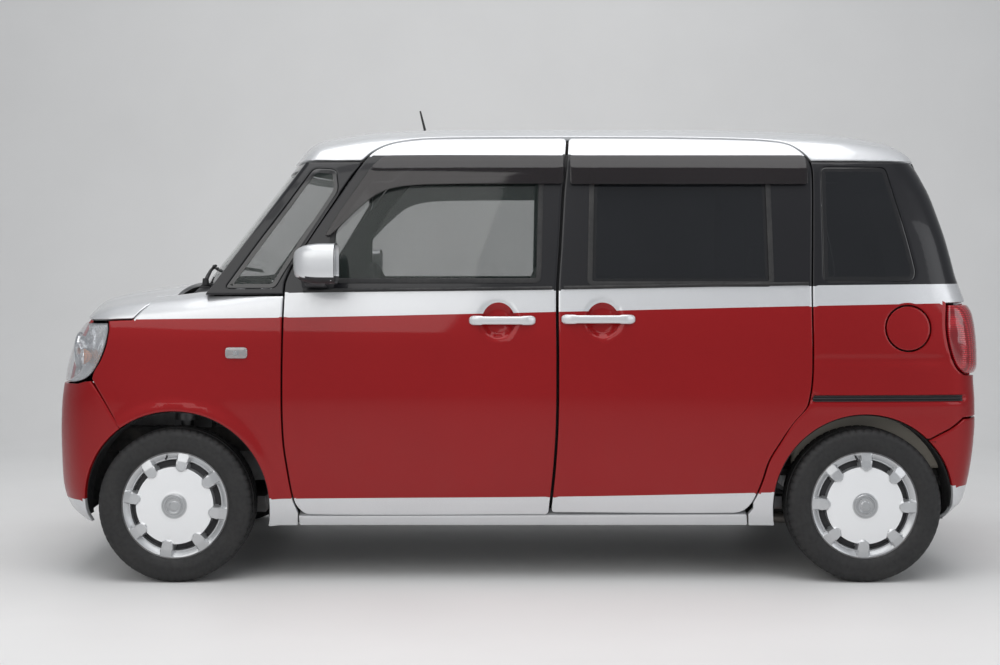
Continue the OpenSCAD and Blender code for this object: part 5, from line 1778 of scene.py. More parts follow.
    # side indicator on the wing
    ind = outline([(-1014, 799), (-1014, 839), (-936, 839), (-936, 799)], r=0.014)
    panel("side_indicator", [ind], map_side(f_side), f_side, ["lens_white", "bezel"], lambda c: (np.hypot((c[:, 0] + 0.975) / 1.7, c[:, 1] - 0.819) < 0.0075).astype(int), [], thick=0.008, roll=0.004, grid=0.006, body="body",
          offset=0.0085)


def build_handles():
    """Grip bars with their feet, over the recesses; silver."""
    for nm, y0, y1, zc, body, rep in (("front_door_grip", -0.150, 0.086, 0.934, ("left_front_door", "right_front_door"), ("left_door_handle", "right_door_handle")),
                                      ("sliding_door_grip", 0.178, 0.440, 0.938, ("body", "body"), ("sliding_door_handles", None))):
        secs = []
        n = 34
        for i in range(n):
            t = i / (n - 1)
            y = y0 + (y1 - y0) * t
            xs = on_side(f_side, [(y * 1000, zc * 1000)])[0][0]
            e = min(t, 1 - t) * (y1 - y0)
            lift = 0.0155 * min(1, e / 0.030) ** 0.7
            hh = 0.0165 * (0.55 + 0.45 * min(1, e / 0.012) ** 0.5) - (0.002 if 0.05 < e else 0)
            th = 0.0085 if e > 0.012 else 0.010
            c = (xs + lift - 0.004, y, zc)
            ring = []
            for k in range(20):
                a = 2 * math.pi * k / 20
                ca, sa = math.cos(a), math.sin(a)
                ring.append((c[0] + th * abs(ca) ** 0.75 * (1 if ca > 0 else -1) * (0.85 if ca > 0 else 1.0), c[1], c[2] + hh * abs(sa) ** 0.75 * (1 if sa > 0 else -1)))
            secs.append(ring)
        data = loft(secs)
        # feet at both ends
        parts = [data]
        for ye in (y0 + 0.016, y1 - 0.016):
            xs = on_side(f_side, [(ye * 1000, zc * 1000)])[0][0]
            parts.append(rbox((xs - 0.001, ye, zc), (0.020, 0.030, 0.026), 0.006))
        # lock barrel position only; no barrel is built
        if nm.startswith("front"):
            ye = y1 + 0.0
        V, F, M = join_data(parts)
        for s, side_, k in ((1, "left", 0), (-1, "right", 1)):
            VV = np.array(V) * [s, 1, 1]
            ob = fix_normals(mesh_object(side_ + "_" + nm, VV, F, ["silver"], M, smooth=50, body=body[k]))
            if rep[k]:
                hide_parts(rep[k])


def build_mirrors():
    """Door mirrors: silver cap over a black shell, glass behind, stalk to the door."""
    y0, y1, z0, z1, x0, x1 = -0.757, -0.608, 1.064, 1.206, 0.764, 0.920
    yc, zc, xc = (y0 + y1) / 2, (z0 + z1) / 2, (x0 + x1) / 2
    secs, n = [], 22
    m = 40
    for i in range(n):
        t = i / (n - 1)
        # from the front nose of the cap to the glass edge
        y = y0 + (y1 - y0) * t
        k = (1 - (1 - min(1, t / 0.80)) ** 2.6) ** (1 / 2.6) if t < 0.80 else 1.0
        k = max(k, 0.10)
        ring = []
        for j in range(m):
            a = 2 * math.pi * j / m
            ca, sa = math.cos(a), math.sin(a)
            e = 0.52
            rx = (x1 - x0) / 2 * k
            rz = (z1 - z0) / 2 * (0.20 + 0.80 * k)
            px = xc + (1 - k) * -0.006 + rx * abs(ca) ** e * (1 if ca > 0 else -1)
            pz = zc + rz * abs(sa) ** e * (1 if sa > 0 else -1)
            ring.append((px, y, pz))
        secs.append(ring)
    V, F, M = loft(secs, cap=False)
    V = list(V)
    F = list(F)
    c = len(V)
    V.append((xc, y0 - 0.0, zc))
    for j in range(m):
        F.append((c, (j + 1) % m, j))
    # inner lip and pocket for the glass
    last = [(xc + (p[0] - xc) * 0.93, y1 + 0.001, zc + (p[2] - zc) * 0.93) for p in secs[-1]]
    pock = [(xc + (p[0] - xc) * 0.91, y1 - 0.014, zc + (p[2] - zc) * 0.91) for p in secs[-1]]
    b = len(V)
    V += last + pock
    pr = (n - 1) * m
    M = []
    for j in range(m):
        j2 = (j + 1) % m
        F.append((pr + j, pr + j2, b + j2, b + j))
        F.append((b + j, b + j2, b + m + j2, b + m + j))
    F.append(tuple(b + m + j for j in range(m)))
    fm = []
    VA = np.array(V)
    for f in F:
        z = VA[list(f)][:, 2].mean()
        y = VA[list(f)][:, 1].mean()
        fm.append(1 if (z < 1.089 or y > y1 - 0.003) else 0)
    glassd = rbox((xc, y1 - 0.010, zc), ((x1 - x0) * 0.86, 0.004, (z1 - z0) * 0.84), 0.0018, 2, 2)
    xs = on_side(f_side, [(-690, 1075)])[0][0]
    stalk = loft([[(x, yy, zz) for yy, zz in [(-0.725, zlo), (-0.655, zlo), (-0.650, zlo + 0.012), (-0.655, zlo + 0.030), (-0.725, zlo + 0.030), (-0.730, zlo + 0.012)]]
                  for x, zlo in ((xs - 0.014, 1.050), (xs + 0.008, 1.050), (xs + 0.030, 1.053), (0.775, 1.060), (0.80, 1.066))], mat=1)
    base = rbox((xs - 0.004, -0.690, 1.085), (0.020, 0.120, 0.085), 0.010, 4, 1)
    V, F, M = join_data([(V, F, fm), glassd, stalk, base])
    for s, side_ in ((1, "left"), (-1, "right")):
        VV = np.array(V) * [s, 1, 1]
        ob = fix_normals(mesh_object(side_ + "_mirror_housing", VV, F, ["silver", "trim", "reflector"], M, smooth=40, body=side_ + "_front_door"))
        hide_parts(side_ + "_door_mirror")


# ------------------------------------------------------------------ smaller outside pieces
def build_details():
    # antenna at the front edge of the roof
    z0 = on_top(f_roof, [(0.5, -352)])[0][2]
    parts = [rbox((0, -0.352, z0 + 0.008), (0.036, 0.060, 0.022), 0.010, 4, 0)]
    base = Vector((0, -0.350, z0 + 0.012))
    tip = Vector((0, -0.372, 1.7535))
    path = [base + (tip - base) * t for t in np.linspace(0, 1, 60)]
    parts.append(tube(path, [0.0052 - 0.002 * t + (0.0006 if (i % 3) == 0 and t < 0.92 else 0) for i, t in enumerate(np.linspace(0, 1, 60))], 10, 1))
    V, F, M = join_data(parts)
    mesh_object("roof_antenna", V, F, ["trim", "rubber"], M, smooth=45, body="body")
    # cowl plate below the windscreen
    V, F = [], []
    xs = np.linspace(-0.60, 0.60, 49)
    rows = [(-1.205, 1.052), (-1.196, 1.060), (-1.172, 1.062), (-1.150, 1.070), (-1.120, 1.078), (-1.085, 1.084)]
    for x in xs:
        bow = 0.05 * (abs(x) / 0.6) ** 2
        drop = float(BC(abs(x)))
        for y, z in rows:
            V.append((x, y + bow * 0.9, z - drop * 0.8 - 0.004))
    m = len(rows)
    for i in range(len(xs) - 1):
        for k in range(m - 1):
            F.append((i * m + k, (i + 1) * m + k, (i + 1) * m + k + 1, i * m + k + 1))
    parts = [(V, F, [0] * len(F))]
    for i in range(-18, 19):
        x = i * 0.028
        bow = 0.05 * (abs(x) / 0.6) ** 2 * 0.9
        drop = float(BC(abs(x))) * 0.8
        if abs(x) > 0.18:
            parts.append(rbox((x, -1.160 + bow, 1.068 - drop), (0.005, 0.050, 0.006), 0.001, 1, 0))
    V, F, M = join_data(parts)
    mesh_object("cowl_cover", V, F, ["trim"], M, smooth=30, body="body")
    # wipers
    parts = []
    for x0, x1, px in ((-0.02, 0.50, 0.49), (-0.52, -0.06, -0.10)):
        for k, (a, b) in enumerate(((x0, x1),)):
            path, blade = [], []
            for t in np.linspace(0, 1, 14):
                x = a + (b - a) * t
                y = -1.115 + 0.03 * t
                p = map_gno_screen(x, 1.098 + 0.018 * math.sin(t * math.pi * 0.5))
                path.append(p + np.array([0, -0.012, 0.012]))
                blade.append(p + np.array([0, -0.003, 0.004]))
            parts.append(tube(path, 0.005, 8, 0))
            parts.append(tube(blade, 0.003, 6, 1))
            piv = map_gno_screen(px, 1.074) + np.array([0, -0.016, -0.004])
            mid = path[7]
            parts.append(tube([piv, piv + (mid - piv) * 0.3 + np.array([0, -0.002, 0.003]), piv + (mid - piv) * 0.7 + np.array([0, -0.002, 0.004]), mid], [0.009, 0.0075, 0.006, 0.0055], 8, 0))
            parts.append(tube([piv + np.array([0, 0, -0.012]), piv + np.array([0, 0, 0.012])], [0.013, 0.011], 12, 0))
    # rear wiper
    V, F, M = join_data(parts)
    w = fix_normals(mesh_object("wiper_arms", V, F, ["trim", "rubber"], M, smooth=45, body="body"))
    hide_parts("wipers")
    ft = f_roof_tail
    def bk(x, z, out=0.0):
        p = on_back(ft, [(x * 1000, z * 1000)])
        return p[0] + normals(ft, p)[0] * out
    path = [bk(0.02 + 0.30 * t, 1.068 + 0.055 * math.sin(t * 2.2), 0.018) for t in np.linspace(0, 1, 12)]
    bl = [bk(0.06 + 0.30 * t, 1.072 + 0.060 * math.sin(t * 2.0), 0.006) for t in np.linspace(0, 1, 12)]
    parts = [tube(path, [0.007 - 0.003 * t for t in np.linspace(0, 1, 12)], 8, 0), tube(bl, 0.004, 6, 1),
             tube([bk(0.02, 1.068, -0.004), bk(0.02, 1.068, 0.024)], [0.020, 0.015], 14, 0)]
    # plate recess furniture: blank plate, lamp bar, handle
    p = on_back(ft, [(0, 770)])[0]
    parts.append(rbox((0, p[1] + 0.002, 0.765), (0.330, 0.006, 0.165), 0.003, 2, 2))
    parts.append(rbox((0, p[1] + 0.006, 0.868), (0.44, 0.030, 0.034), 0.010, 3, 3))
    for sx in (-0.16, 0.16):
        parts.append(rbox((sx, p[1] + 0.004, 0.846), (0.050, 0.014, 0.010), 0.003, 2, 4))
    for sx in (-0.105, 0.105):
        parts.append(tube([(sx, p[1] + 0.002, 0.830), (sx, p[1] + 0.008, 0.830)], 0.006, 10, 4))
    V, F, M = join_data(parts)
    fix_normals(mesh_object("tailgate_furniture", V, F, ["trim", "rubber", "plate_grey", "silver", "chrome"], M, smooth=40, body="tailgate"))
    # high stop lamp inside the top of the tailgate glass
    q = bk(0, 1.470, 0.002)
    V, F, M = join_data([rbox((0, q[1] - 0.004, 1.474), (0.30, 0.016, 0.020), 0.005, 3, 0)])
    mesh_object("high_stop_lamp", V, F, ["lens_red"], M, body="tailgate")
    # front plate, blank
    p = on_front(f_low, [(0, 770)])[0]
    c = on_front(f_low, [(0, 595)])[0]
    V, F, M = join_data([rbox((0, -1.6945, 0.473), (0.330, 0.005, 0.088), 0.002, 2, 0)] +
                        [tube([(sx, -1.690, 0.490), (sx, -1.6970, 0.490)], 0.0065, 12, 1) for sx in (-0.105, 0.105)])
    mesh_object("front_plate_blank", V, F, ["plate_grey", "chrome"], M, smooth=40, body="body")
    # slide rail strip inside its groove, belt rubber
    for s, side_ in ((1, "left"), (-1, "right")):
        path = [on_side(f_tail, [(y, 656)])[0] - np.array([0.008, 0, 0]) for y in np.linspace(1070, 1606, 24)]
        V, F, M = join_data([tube(path, 0.004, 8, 0)])
        V = np.array(V) * [s, 1, 1]
        fix_normals(mesh_object(side_ + "_slide_rail", V, F, ["trim"], M, smooth=45, body="body"))
        V, F, M = join_data([tube([on_side(f_side, [(y, float(BELT_HI(y / 1000)) * 1000 + 7)])[0] + np.array([0.0035, 0, 0]) for y in np.linspace(-742, 146, 30)], 0.0065, 8, 0)])
        fix_normals(mesh_object(side_ + "_front_belt_moulding", np.array(V) * [s, 1, 1], F, ["rubber"], M, smooth=45, body=side_ + "_front_door"))
        V, F, M = join_data([tube([on_side(f_side, [(y, float(BELT_HI(y / 1000)) * 1000 + 7)])[0] + np.array([0.0035, 0, 0]) for y in np.linspace(186, 1060, 30)], 0.0065, 8, 0)])
        fix_normals(mesh_object(side_ + "_rear_belt_moulding", np.array(V) * [s, 1, 1], F, ["rubber"], M, smooth=45, body="body"))


def map_gno_screen(x, z):
    """Point on the windscreen at x, z."""
    p = on_front(f_screen, [(x * 1000, z * 1000)])
    return p[0]


# ------------------------------------------------------------------ cabin
def pillow(name, secs, body="body", slot="seat_cloth", mats=("cloth",), fmat=None, sub=1, smooth=60):
    V, F, M = loft(secs)
    ob = fix_normals(mesh_object(name, V, F, list(mats), M, smooth=smooth, body=body))
    if sub:
        m = ob.modifiers.new("s", "SUBSURF")
        m.levels = m.render_levels = sub
    return ob


def seat_shape(kind, w, L, h, side_bolster=0.018, nx=30, ny=34):
    """Stuffed slab: crowned, with bolsters and quilt channels. Local frame: x across, y along, z out."""
    us = np.linspace(-1, 1, nx)
    vs = np.linspace(0, 1, ny)
    top, bot = [], []
    for j, v in enumerate(vs):
        for i, u in enumerate(us):
            ex = (1 - abs(u) ** 5) ** 0.35
            ey = (1 - abs(2 * v - 1) ** 7) ** 0.3
            e = max(0.0, ex * ey)
            x = u * w / 2 * (1 - 0.05 * abs(2 * v - 1) ** 4)
            bol = side_bolster * math.exp(-((abs(u) - 0.80) / 0.13) ** 2)
            chan = -0.006 * math.exp(-((abs(u) - 0.60) / 0.03) ** 2) - 0.005 * max(math.exp(-((v - c) / 0.018) ** 2) for c in (0.27, 0.50, 0.73)) * (1 if abs(u) < 0.6 else 0)
            crown = 0.010 * (1 - u * u) * math.sin(math.pi * v)
            z = e * (h + bol + crown + chan)
            top.append((x, v * L, z))
            bot.append((x, v * L, -e * h * 0.18))
    V = top + bot
    F = []
    n = nx * ny
    for j in range(ny - 1):
        for i in range(nx - 1):
            a = j * nx + i
            F.append((a, a + 1, a + 1 + nx, a + nx))
            F.append((n + a, n + a + nx, n + a + 1 + nx, n + a + 1))
    rim = [i for i in range(nx)] + [j * nx + nx - 1 for j in range(1, ny)] + [(ny - 1) * nx + i for i in range(nx - 2, -1, -1)] + [j * nx for j in range(ny - 2, 0, -1)]
    for k in range(len(rim)):
        a, b = rim[k], rim[(k + 1) % len(rim)]
        F.append((b, a, n + a, n + b))
    return np.array(V), F


def stuff(ob, press=4.0, frames=20):
    """Short pressure simulation so that the slab bulges between its seams."""
    sc = bpy.context.scene
    grav = sc.use_gravity
    sc.use_gravity = False
    c = ob.modifiers.new("c", "CLOTH")
    s = c.settings
    s.quality = 5
    s.mass = 0.3
    s.use_pressure = True
    s.uniform_pressure_force = press
    s.tension_stiffness = s.compression_stiffness = 40
    s.shear_stiffness = 12
    s.bending_stiffness = 2.0
    s.air_damping = 4
    c.collision_settings.use_self_collision = False
    before = np.array([v.co[:] for v in ob.data.vertices])
    c.point_cache.frame_start = 1
    c.point_cache.frame_end = frames
    for f in range(1, frames + 1):
        sc.frame_set(f)
    dg = bpy.context.evaluated_depsgraph_get()
    after = np.array([v.co[:] for v in ob.evaluated_get(dg).data.vertices])
    ob.modifiers.remove(c)
    sc.frame_set(1)
    sc.use_gravity = grav
    d = after - before if len(after) == len(before) else np.zeros_like(before)
    L = np.linalg.norm(d, axis=1)
    d *= np.where(L > 0.012, 0.012 / np.maximum(L, 1e-9), 1.0)[:, None]
    ob.data.vertices.foreach_set("co", (before + d).ravel())
    ob.data.update()
    return ob


def cushion(name, w, L, h, origin, ax, ay, az, mats=("cloth", "cloth_dark"), press=4.0, bol=0.018, nx=34, ny=36):
    V, F = seat_shape("s", w, L, h, bol, nx, ny)
    ax, ay, az = (np.array(v, float) / np.linalg.norm(v) for v in (ax, ay, az))
    P = np.array(origin, float) + V[:, :1] * ax + V[:, 1:2] * ay + V[:, 2:3] * az
    fm = []
    for f in F:
        v = V[list(f), 1].mean() / L
        u = abs(V[list(f), 0].mean()) / (w / 2 * (1 - 0.05 * abs(2 * v - 1) ** 4))
        fm.append(1 if (u > 0.60 or V[list(f), 2].mean() < 0.002) else 0)
    ob = mesh_object(name, P, F, list(mats), fm, smooth=70, body="body")
    stuff(ob, press)
    m = ob.modifiers.new("s", "SUBSURF")
    m.levels = m.render_levels = 1
    return ob


def build_cabin():
    rear_up = lambda a: (0, math.sin(math.radians(a)), math.cos(math.radians(a)))
    first = {}
    for s, side_ in ((1, "left"), (-1, "right")):
        x = s * 0.325
        b = cushion(side_ + "_front_seat_base", 0.50, 0.50, 0.115, (x, -0.430, 0.475), (1, 0, 0), (0, 1, -0.08), (0, 0.08, 1), bol=0.022)
        first[side_] = b
        cushion(side_ + "_front_seat_back", 0.48, 0.62, 0.105, (x, 0.055, 0.545), (1, 0, 0), (0, 0.25, 0.97), (0, -0.97, 0.25), bol=0.024)
        cushion(side_ + "_front_headrest", 0.27, 0.17, 0.085, (x, 0.225, 1.155), (1, 0, 0), (0, 0.14, 0.99), (0, -0.99, 0.14), bol=0.004, nx=22, ny=18)
        x = s * 0.278
        cushion(side_ + "_rear_seat_base", 0.52, 0.48, 0.110, (x, 0.440, 0.455), (1, 0, 0), (0, 1, -0.05), (0, 0.05, 1), bol=0.012)
        cushion(side_ + "_rear_seat_back", 0.50, 0.56, 0.095, (x, 0.905, 0.500), (1, 0, 0), (0, 0.27, 0.96), (0, -0.96, 0.27), bol=0.012)
        cushion(side_ + "_rear_headrest", 0.26, 0.14, 0.075, (x, 1.065, 1.075), (1, 0, 0), (0, 0.14, 0.99), (0, -0.99, 0.14), bol=0.003, nx=22, ny=16)
    # seat frames, head-rest stems, shells
    for nm, xs, data in (("front_seat_frames", 0.325, dict(base=(-0.185, 0.415, 0.43, 0.46, 0.20), back=(0.085, 0.83, 0.25), stem=(0.205, 1.13, 1.20))),
                         ("rear_seat_frames", 0.278, dict(base=(0.68, 0.39, 0.44, 0.42, 0.16), back=(0.925, 0.76, 0.27), stem=(1.055, 1.03, 1.10)))):
        parts = []
        for s in (1, -1):
            x = s * xs
            b = data["base"]
            parts.append(rbox((x, b[0], b[1]), (b[2] * 0.95, b[3] * 0.9, 0.09), 0.02, 4, 0))
            parts.append(rbox((x, b[0], b[1] - 0.09), (b[2] * 0.75, b[3] * 0.8, b[4] * 0.6), 0.008, 2, 1))
            for sx in (-0.15, 0.15):
                if nm.startswith("front"):
                    parts.append(rbox((x + sx, b[0], 0.256), (0.04, 0.46, 0.026), 0.004, 2, 1))
                    parts.append(rbox((x + sx, b[0] - 0.15, 0.30), (0.03, 0.05, 0.10), 0.004, 2, 1))
                    parts.append(rbox((x + sx, b[0] + 0.15, 0.30), (0.03, 0.05, 0.10), 0.004, 2, 1))
            k = data["back"]
            rot = Matrix.Rotation(-math.radians(14.5), 4, "X")
            parts.append(rbox((x, k[0] + 0.055, k[1]), (0.42, 0.035, 0.56), 0.016, 4, 0, rot=rot))
            st = data["stem"]
            for sx in (-0.055, 0.055):
                parts.append(tube([(x + sx, st[0] - 0.012, st[1] - 0.07), (x + sx, st[0], st[1]), (x + sx, st[0] + 0.008, st[2])], 0.006, 10, 2))
            parts.append(tube([(x - 0.225 * s, b[0] + 0.22, b[1] + 0.03), (x - 0.245 * s, b[0] + 0.22, b[1] + 0.03)], 0.035, 20, 0))
        V, F, M = join_data(parts)
        ob = fix_normals(mesh_object(nm, V, F, ["cloth_dark", "steel", "chrome"], M, smooth=45, body="body"))
        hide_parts("front_seats" if nm.startswith("front") else "rear_seat")
    # headlining, floor carpet, luggage mat
    V, F = [], []
    xs = np.linspace(-0.52, 0.52, 21)
    ys = np.linspace(-0.74, 1.33, 30)
    for y in ys:
        for x in xs:
            p = on_top(f_roof, [(x * 1000, y * 1000)])[0]
            V.append((x, y, p[2] - 0.034))
    for j in range(len(ys) - 1):
        for i in range(len(xs) - 1):
            a = j * 21 + i
            F.append((a, a + 21, a + 22, a + 1))
    ob = mesh_object("headlining", V, F, ["headliner"], body="body")
    m = ob.modifiers.new("t", "SOLIDIFY")
    m.thickness = 0.004
    parts = [rbox((0, -0.02, 0.2455), (1.10, 1.64, 0.007), 0.002, 1, 0), rbox((0, -0.10, 0.315), (0.19, 1.42, 0.010), 0.004, 2, 0),
             rbox((0, 1.27, 0.3865), (1.04, 0.70, 0.007), 0.002, 1, 0), rbox((-0.325, -0.62, 0.252), (0.40, 0.34, 0.008), 0.003, 2, 1), rbox((0.325, -0.62, 0.252), (0.40, 0.34, 0.008), 0.003, 2, 1)]
    for s in (-1, 1):
        parts.append(rbox((s * 0.596, 0.04, 0.2385), (0.085, 1.74, 0.008), 0.002, 1, 1))
    V, F, M = join_data(parts)
    mesh_object("cabin_carpet", V, F, ["carpet", "rubber"], M, smooth=40, body="body")
    # dashboard: crowned top pad, lower panel, vents, display, glovebox, gear selector
    parts = []
    secs = []
    for x in np.linspace(-0.585, 0.585, 31):
        k = (abs(x) / 0.585) ** 4
        prof = [(-1.03 + 0.10 * k, 0.985 - 0.03 * k), (-0.96 + 0.05 * k, 1.006), (-0.86, 1.008), (-0.79, 0.994), (-0.765, 0.972), (-0.762, 0.930), (-0.775, 0.895), (-0.775, 0.80), (-0.785, 0.70), (-0.84, 0.62), (-0.90, 0.60), (-0.98, 0.62)]
        hump = 0.022 * math.exp(-((x + 0.325) / 0.17) ** 4)
        secs.append([(x, y, z + (hump if i in (2, 3) else 0)) for i, (y, z) in enumerate(prof)])
    V0, F0, _ = loft(secs)
    m0 = []
    VA = np.array(V0)
    for f in F0:
        zz = VA[list(f)][:, 2].mean()
        m0.append(0 if zz > 0.885 else 1)
    parts.append((V0, F0, m0))
    parts.append(rbox((-0.325, -0.792, 1.004), (0.34, 0.10, 0.05), 0.022, 4, 0))
    parts.append(rbox((-0.325, -0.742, 0.998), (0.29, 0.010, 0.085), 0.012, 3, 2, rot=Matrix.Rotation(math.radians(-20), 4, "X")))
    parts.append(rbox((0.0, -0.762, 0.905), (0.22, 0.026, 0.135), 0.010, 3, 2))
    parts.append(rbox((0.0, -0.752, 0.910), (0.185, 0.012, 0.100), 0.004, 2, 3))
    parts.append(rbox((0.0, -0.768, 0.790), (0.20, 0.04, 0.085), 0.010, 3, 2))
    for sx in (-0.065, 0.0, 0.065):
        parts.append(tube([(sx, -0.760, 0.790), (sx, -0.738, 0.790), (sx, -0.734, 0.790)], [0.021, 0.020, 0.016], 20, 4))
    for sx in (-0.52, -0.14, 0.14, 0.52):
        parts.append(rbox((sx, -0.770, 0.930), (0.085, 0.022, 0.060), 0.008, 3, 2))
        for k in range(4):
            parts.append(rbox((sx, -0.758, 0.912 + k * 0.012), (0.074, 0.008, 0.003), 0.001, 1, 0))
    parts.append(rbox((0.35, -0.778, 0.735), (0.37, 0.024, 0.150), 0.012, 3, 1))
    parts.append(rbox((0.35, -0.763, 0.790), (0.09, 0.010, 0.016), 0.004, 2, 4))
    parts.append(rbox((0.02, -0.745, 0.700), (0.055, 0.05, 0.10), 0.014, 3, 2))
    parts.append(tube([(0.02, -0.735, 0.735), (0.02, -0.700, 0.775), (0.02, -0.690, 0.800)], [0.009, 0.010, 0.017], 14, 4))
    for px, pw in ((-0.30, 0.045), (-0.42, 0.075)):
        parts.append(tube([(px, -0.82, 0.56), (px, -0.775, 0.40)], 0.008, 8, 5))
        parts.append(rbox((px, -0.768, 0.375), (pw, 0.014, 0.08), 0.005, 2, 3, rot=Matrix.Rotation(math.radians(25), 4, "X")))
    V, F, M = join_data(parts)
    ob = fix_normals(mesh_object("dashboard_trim", V, F, ["trim", "trim_beige", "piano", "dial", "bezel", "steel"], M, smooth=38, body="body"))
    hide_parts("dashboard")
    # steering wheel
    C = Vector((-0.325, -0.520, 0.975))
    rot = Matrix.Rotation(math.radians(-65), 3, "X")
    parts = []
    ring = [C + rot @ Vector((0.180 * math.cos(a), 0.180 * math.sin(a), 0)) for a in np.linspace(0, 2 * math.pi, 73)]
    RV, RF = [], []
    for k in range(72):
        a = 2 * math.pi * k / 72
        d = Vector((math.cos(a), math.sin(a), 0))
        for j in range(14):
            b = 2 * math.pi * j / 14
            gr = 1.0 + 0.08 * (1 if k % 2 else 0) * 0 
            r = 0.0145 if j else 0.0145
            RV.append(tuple(C + rot @ (d * (0.172 + r * math.cos(b)) + Vector((0, 0, r * 1.05 * math.sin(b))))))
    for k in range(72):
        for j in range(14):
            RF.append((k * 14 + j, ((k + 1) % 72) * 14 + j, ((k + 1) % 72) * 14 + (j + 1) % 14, k * 14 + (j + 1) % 14))
    parts.append((RV, RF, [0] * len(RF)))
    r4 = rot.to_4x4()
    parts.append(rbox(C + rot @ Vector((0, -0.012, -0.012)), (0.150, 0.105, 0.040), 0.018, 4, 1, rot=r4))
    for sx in (-1, 1):
        parts.append(rbox(C + rot @ Vector((sx * 0.118, 0.0, -0.008)), (0.105, 0.034, 0.018), 0.007, 3, 2, rot=r4))
    parts.append(rbox(C + rot @ Vector((0, -0.110, -0.008)), (0.055, 0.105, 0.016), 0.006, 3, 2, rot=r4))
    parts.append(tube([C + rot @ Vector((0, 0, -0.012)), C + rot @ Vector((0, 0, -0.070)), C + rot @ Vector((0, 0, -0.090))], [0.035, 0.040, 0.030], 24, 1))
    V, F, M = join_data(parts)
    ob = fix_normals(mesh_object("steering_wheel_trim", V, F, ["trim", "piano", "bezel"], M, smooth=45, body="steering_wheel"))
    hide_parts("steering_wheel")
    # interior mirror and sun visors
    parts = [rbox((0, -0.690, 1.470), (0.24, 0.030, 0.062), 0.014, 4, 0), tube([(0, -0.694, 1.480), (0, -0.730, 1.530)], 0.008, 10, 0), rbox((0, -0.673, 1.470), (0.225, 0.004, 0.050), 0.0015, 2, 1)]
    for s in (-1, 1):
        parts.append(rbox((s * 0.34, -0.60, 1.560), (0.36, 0.13, 0.016), 0.007, 3, 2, rot=Matrix.Rotation(math.radians(6), 4, "X")))
    V, F, M = join_data(parts)
    fix_normals(mesh_object("cabin_mirror_and_sun_visors", V, F, ["trim", "reflector", "headliner"], M, smooth=40, body="body"))
    # luggage side trims
    parts = []
    for s in (-1, 1):
        parts.append(rbox((s * 0.575, 1.30, 0.70), (0.05, 0.56, 0.62), 0.02, 3, 0))
    V, F, M = join_data(parts)
    mesh_object("luggage_side_trim", V, F, ["trim_beige"], M, smooth=40, body="body")


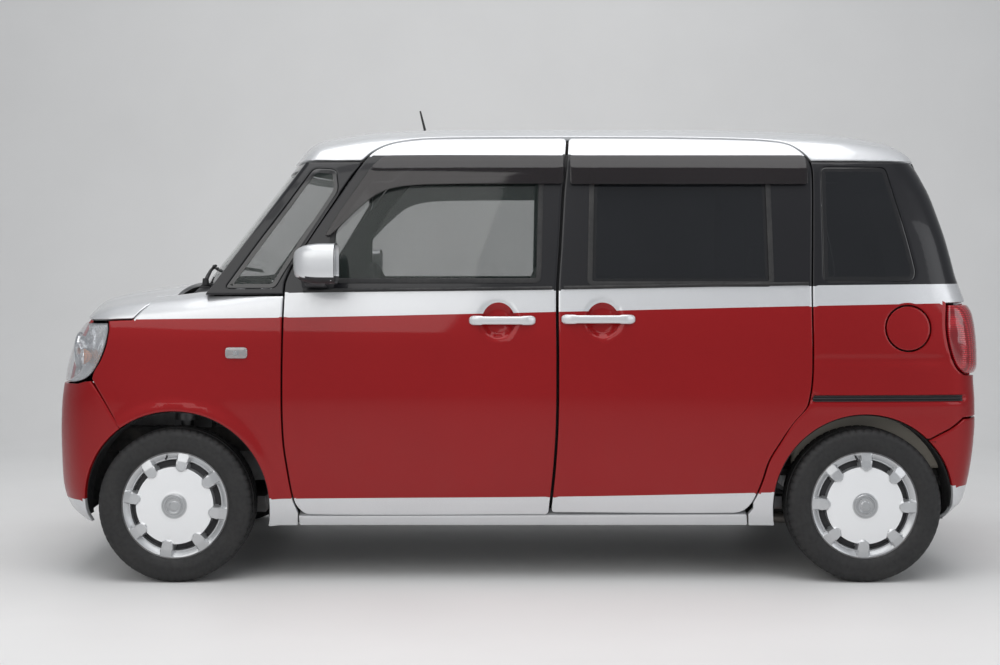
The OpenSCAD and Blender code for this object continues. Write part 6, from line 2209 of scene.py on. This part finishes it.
# ------------------------------------------------------------------ studio
def studio():
    sc = bpy.context.scene
    n = N("studio_floor", (0.74, 0.74, 0.735), 0.55)
    n.to(n.mix(n.map(n.noise(1.6, 4), 0.3, 0.7, 0, 1), (0.735, 0.735, 0.73), (0.76, 0.76, 0.755)), "Base Color")
    V, F = [], []
    prof = [(9, 0), (-3.2, 0)] + [(-3.2 - 2.2 * math.sin(a), 2.2 - 2.2 * math.cos(a)) for a in np.linspace(0.05, math.pi / 2, 16)] + [(-5.4, 7.0)]
    for x, z in prof:
        V += [(x, -14, z - 0.0), (x, 14, z - 0.0)]
    for i in range(len(prof) - 1):
        F.append((i * 2, i * 2 + 1, i * 2 + 3, i * 2 + 2))
    fl = mesh_object("studio_floor", V, F, ["studio_floor"], smooth=60)
    w = bpy.data.worlds.new("studio")
    sc.world = w
    sc.view_settings.view_transform = "Standard"
    sc.view_settings.exposure = -0.62
    w.use_nodes = True
    w.node_tree.nodes["Background"].inputs[0].default_value = (0.92, 0.95, 1.0, 1)
    w.node_tree.nodes["Background"].inputs[1].default_value = 0.55
    def area(name, loc, tgt, size, power, col=(1, 1, 1)):
        l = bpy.data.lights.new(name, "AREA")
        l.shape = "RECTANGLE"
        l.size, l.size_y = size
        l.energy = power
        l.color = col
        o = bpy.data.objects.new(name, l)
        o.location = loc
        o.rotation_euler = (Vector(tgt) - Vector(loc)).to_track_quat("-Z", "Y").to_euler()
        sc.collection.objects.link(o)
        return o
    area("softbox_top", (1.2, 0.0, 5.4), (0.2, 0, 0.6), (5.5, 7.0), 420)
    area("softbox_side", (6.4, -3.4, 3.6), (0.5, -0.2, 0.7), (7.0, 3.6), 210, (1, 0.99, 0.97))
    area("softbox_rear", (4.6, 5.4, 2.4), (0.4, 0.6, 0.7), (3.4, 3.2), 90, (0.97, 0.98, 1.0))
    cam = bpy.data.cameras.new("photo_view")
    cam.sensor_width = 36.0
    cam.lens = 1490.7 / 1000 * 36.0
    cam.shift_x = -0.01975
    cam.shift_y = -0.0645
    co = bpy.data.objects.new("photo_view", cam)
    co.location = (6.02, 0.03, 1.12)
    co.rotation_euler = (math.radians(90), 0, math.radians(90))
    sc.collection.objects.link(co)
    sc.camera = co


# ------------------------------------------------------------------ run
def towing_eye_tunnel():
    # lining of the towing-eye opening in the bumper
    p = on_front(f_low, [(-300, 475)])[0]
    prof = [(0.0, 0.0235), (-0.0015, 0.0225), (0.0, 0.0215), (0.028, 0.0215)]
    V, F = [], []
    for k in range(40):
        a = 2 * math.pi * k / 40
        for d, r in prof:
            V.append((-0.300 + r * math.cos(a), p[1] + 0.001 + d, 0.475 + r * math.sin(a)))
    for k in range(40):
        for i in range(3):
            F.append((k * 4 + i, k * 4 + i + 1, ((k + 1) % 40) * 4 + i + 1, ((k + 1) % 40) * 4 + i))
    fix_normals(mesh_object("towing_eye_bezel", V, F, ["trim"], body="body"))


import time
_T = time.time()
build_doors()
print('TIME', 'build_doors()', round(time.time() - _T, 1))
build_glass()
build_pillars()
print('TIME', 'build_glass()', round(time.time() - _T, 1))
build_quarters()
print('TIME', 'build_quarters()', round(time.time() - _T, 1))
build_front()
print('TIME', 'build_front()', round(time.time() - _T, 1))
build_rear()
print('TIME', 'build_rear()', round(time.time() - _T, 1))
build_roof()
print('TIME', 'build_roof()', round(time.time() - _T, 1))
build_wheels()
print('TIME', 'build_wheels()', round(time.time() - _T, 1))
build_liners()
print('TIME', 'build_liners()', round(time.time() - _T, 1))
build_lamps()
print('TIME', 'build_lamps()', round(time.time() - _T, 1))
build_handles()
print('TIME', 'build_handles()', round(time.time() - _T, 1))
build_mirrors()
print('TIME', 'build_mirrors()', round(time.time() - _T, 1))
build_details()
print('TIME', 'build_details()', round(time.time() - _T, 1))
towing_eye_tunnel()
build_cabin()
print('TIME', 'build_cabin()', round(time.time() - _T, 1))
dress_cad()
print('TIME', 'dress_cad()', round(time.time() - _T, 1))
studio()
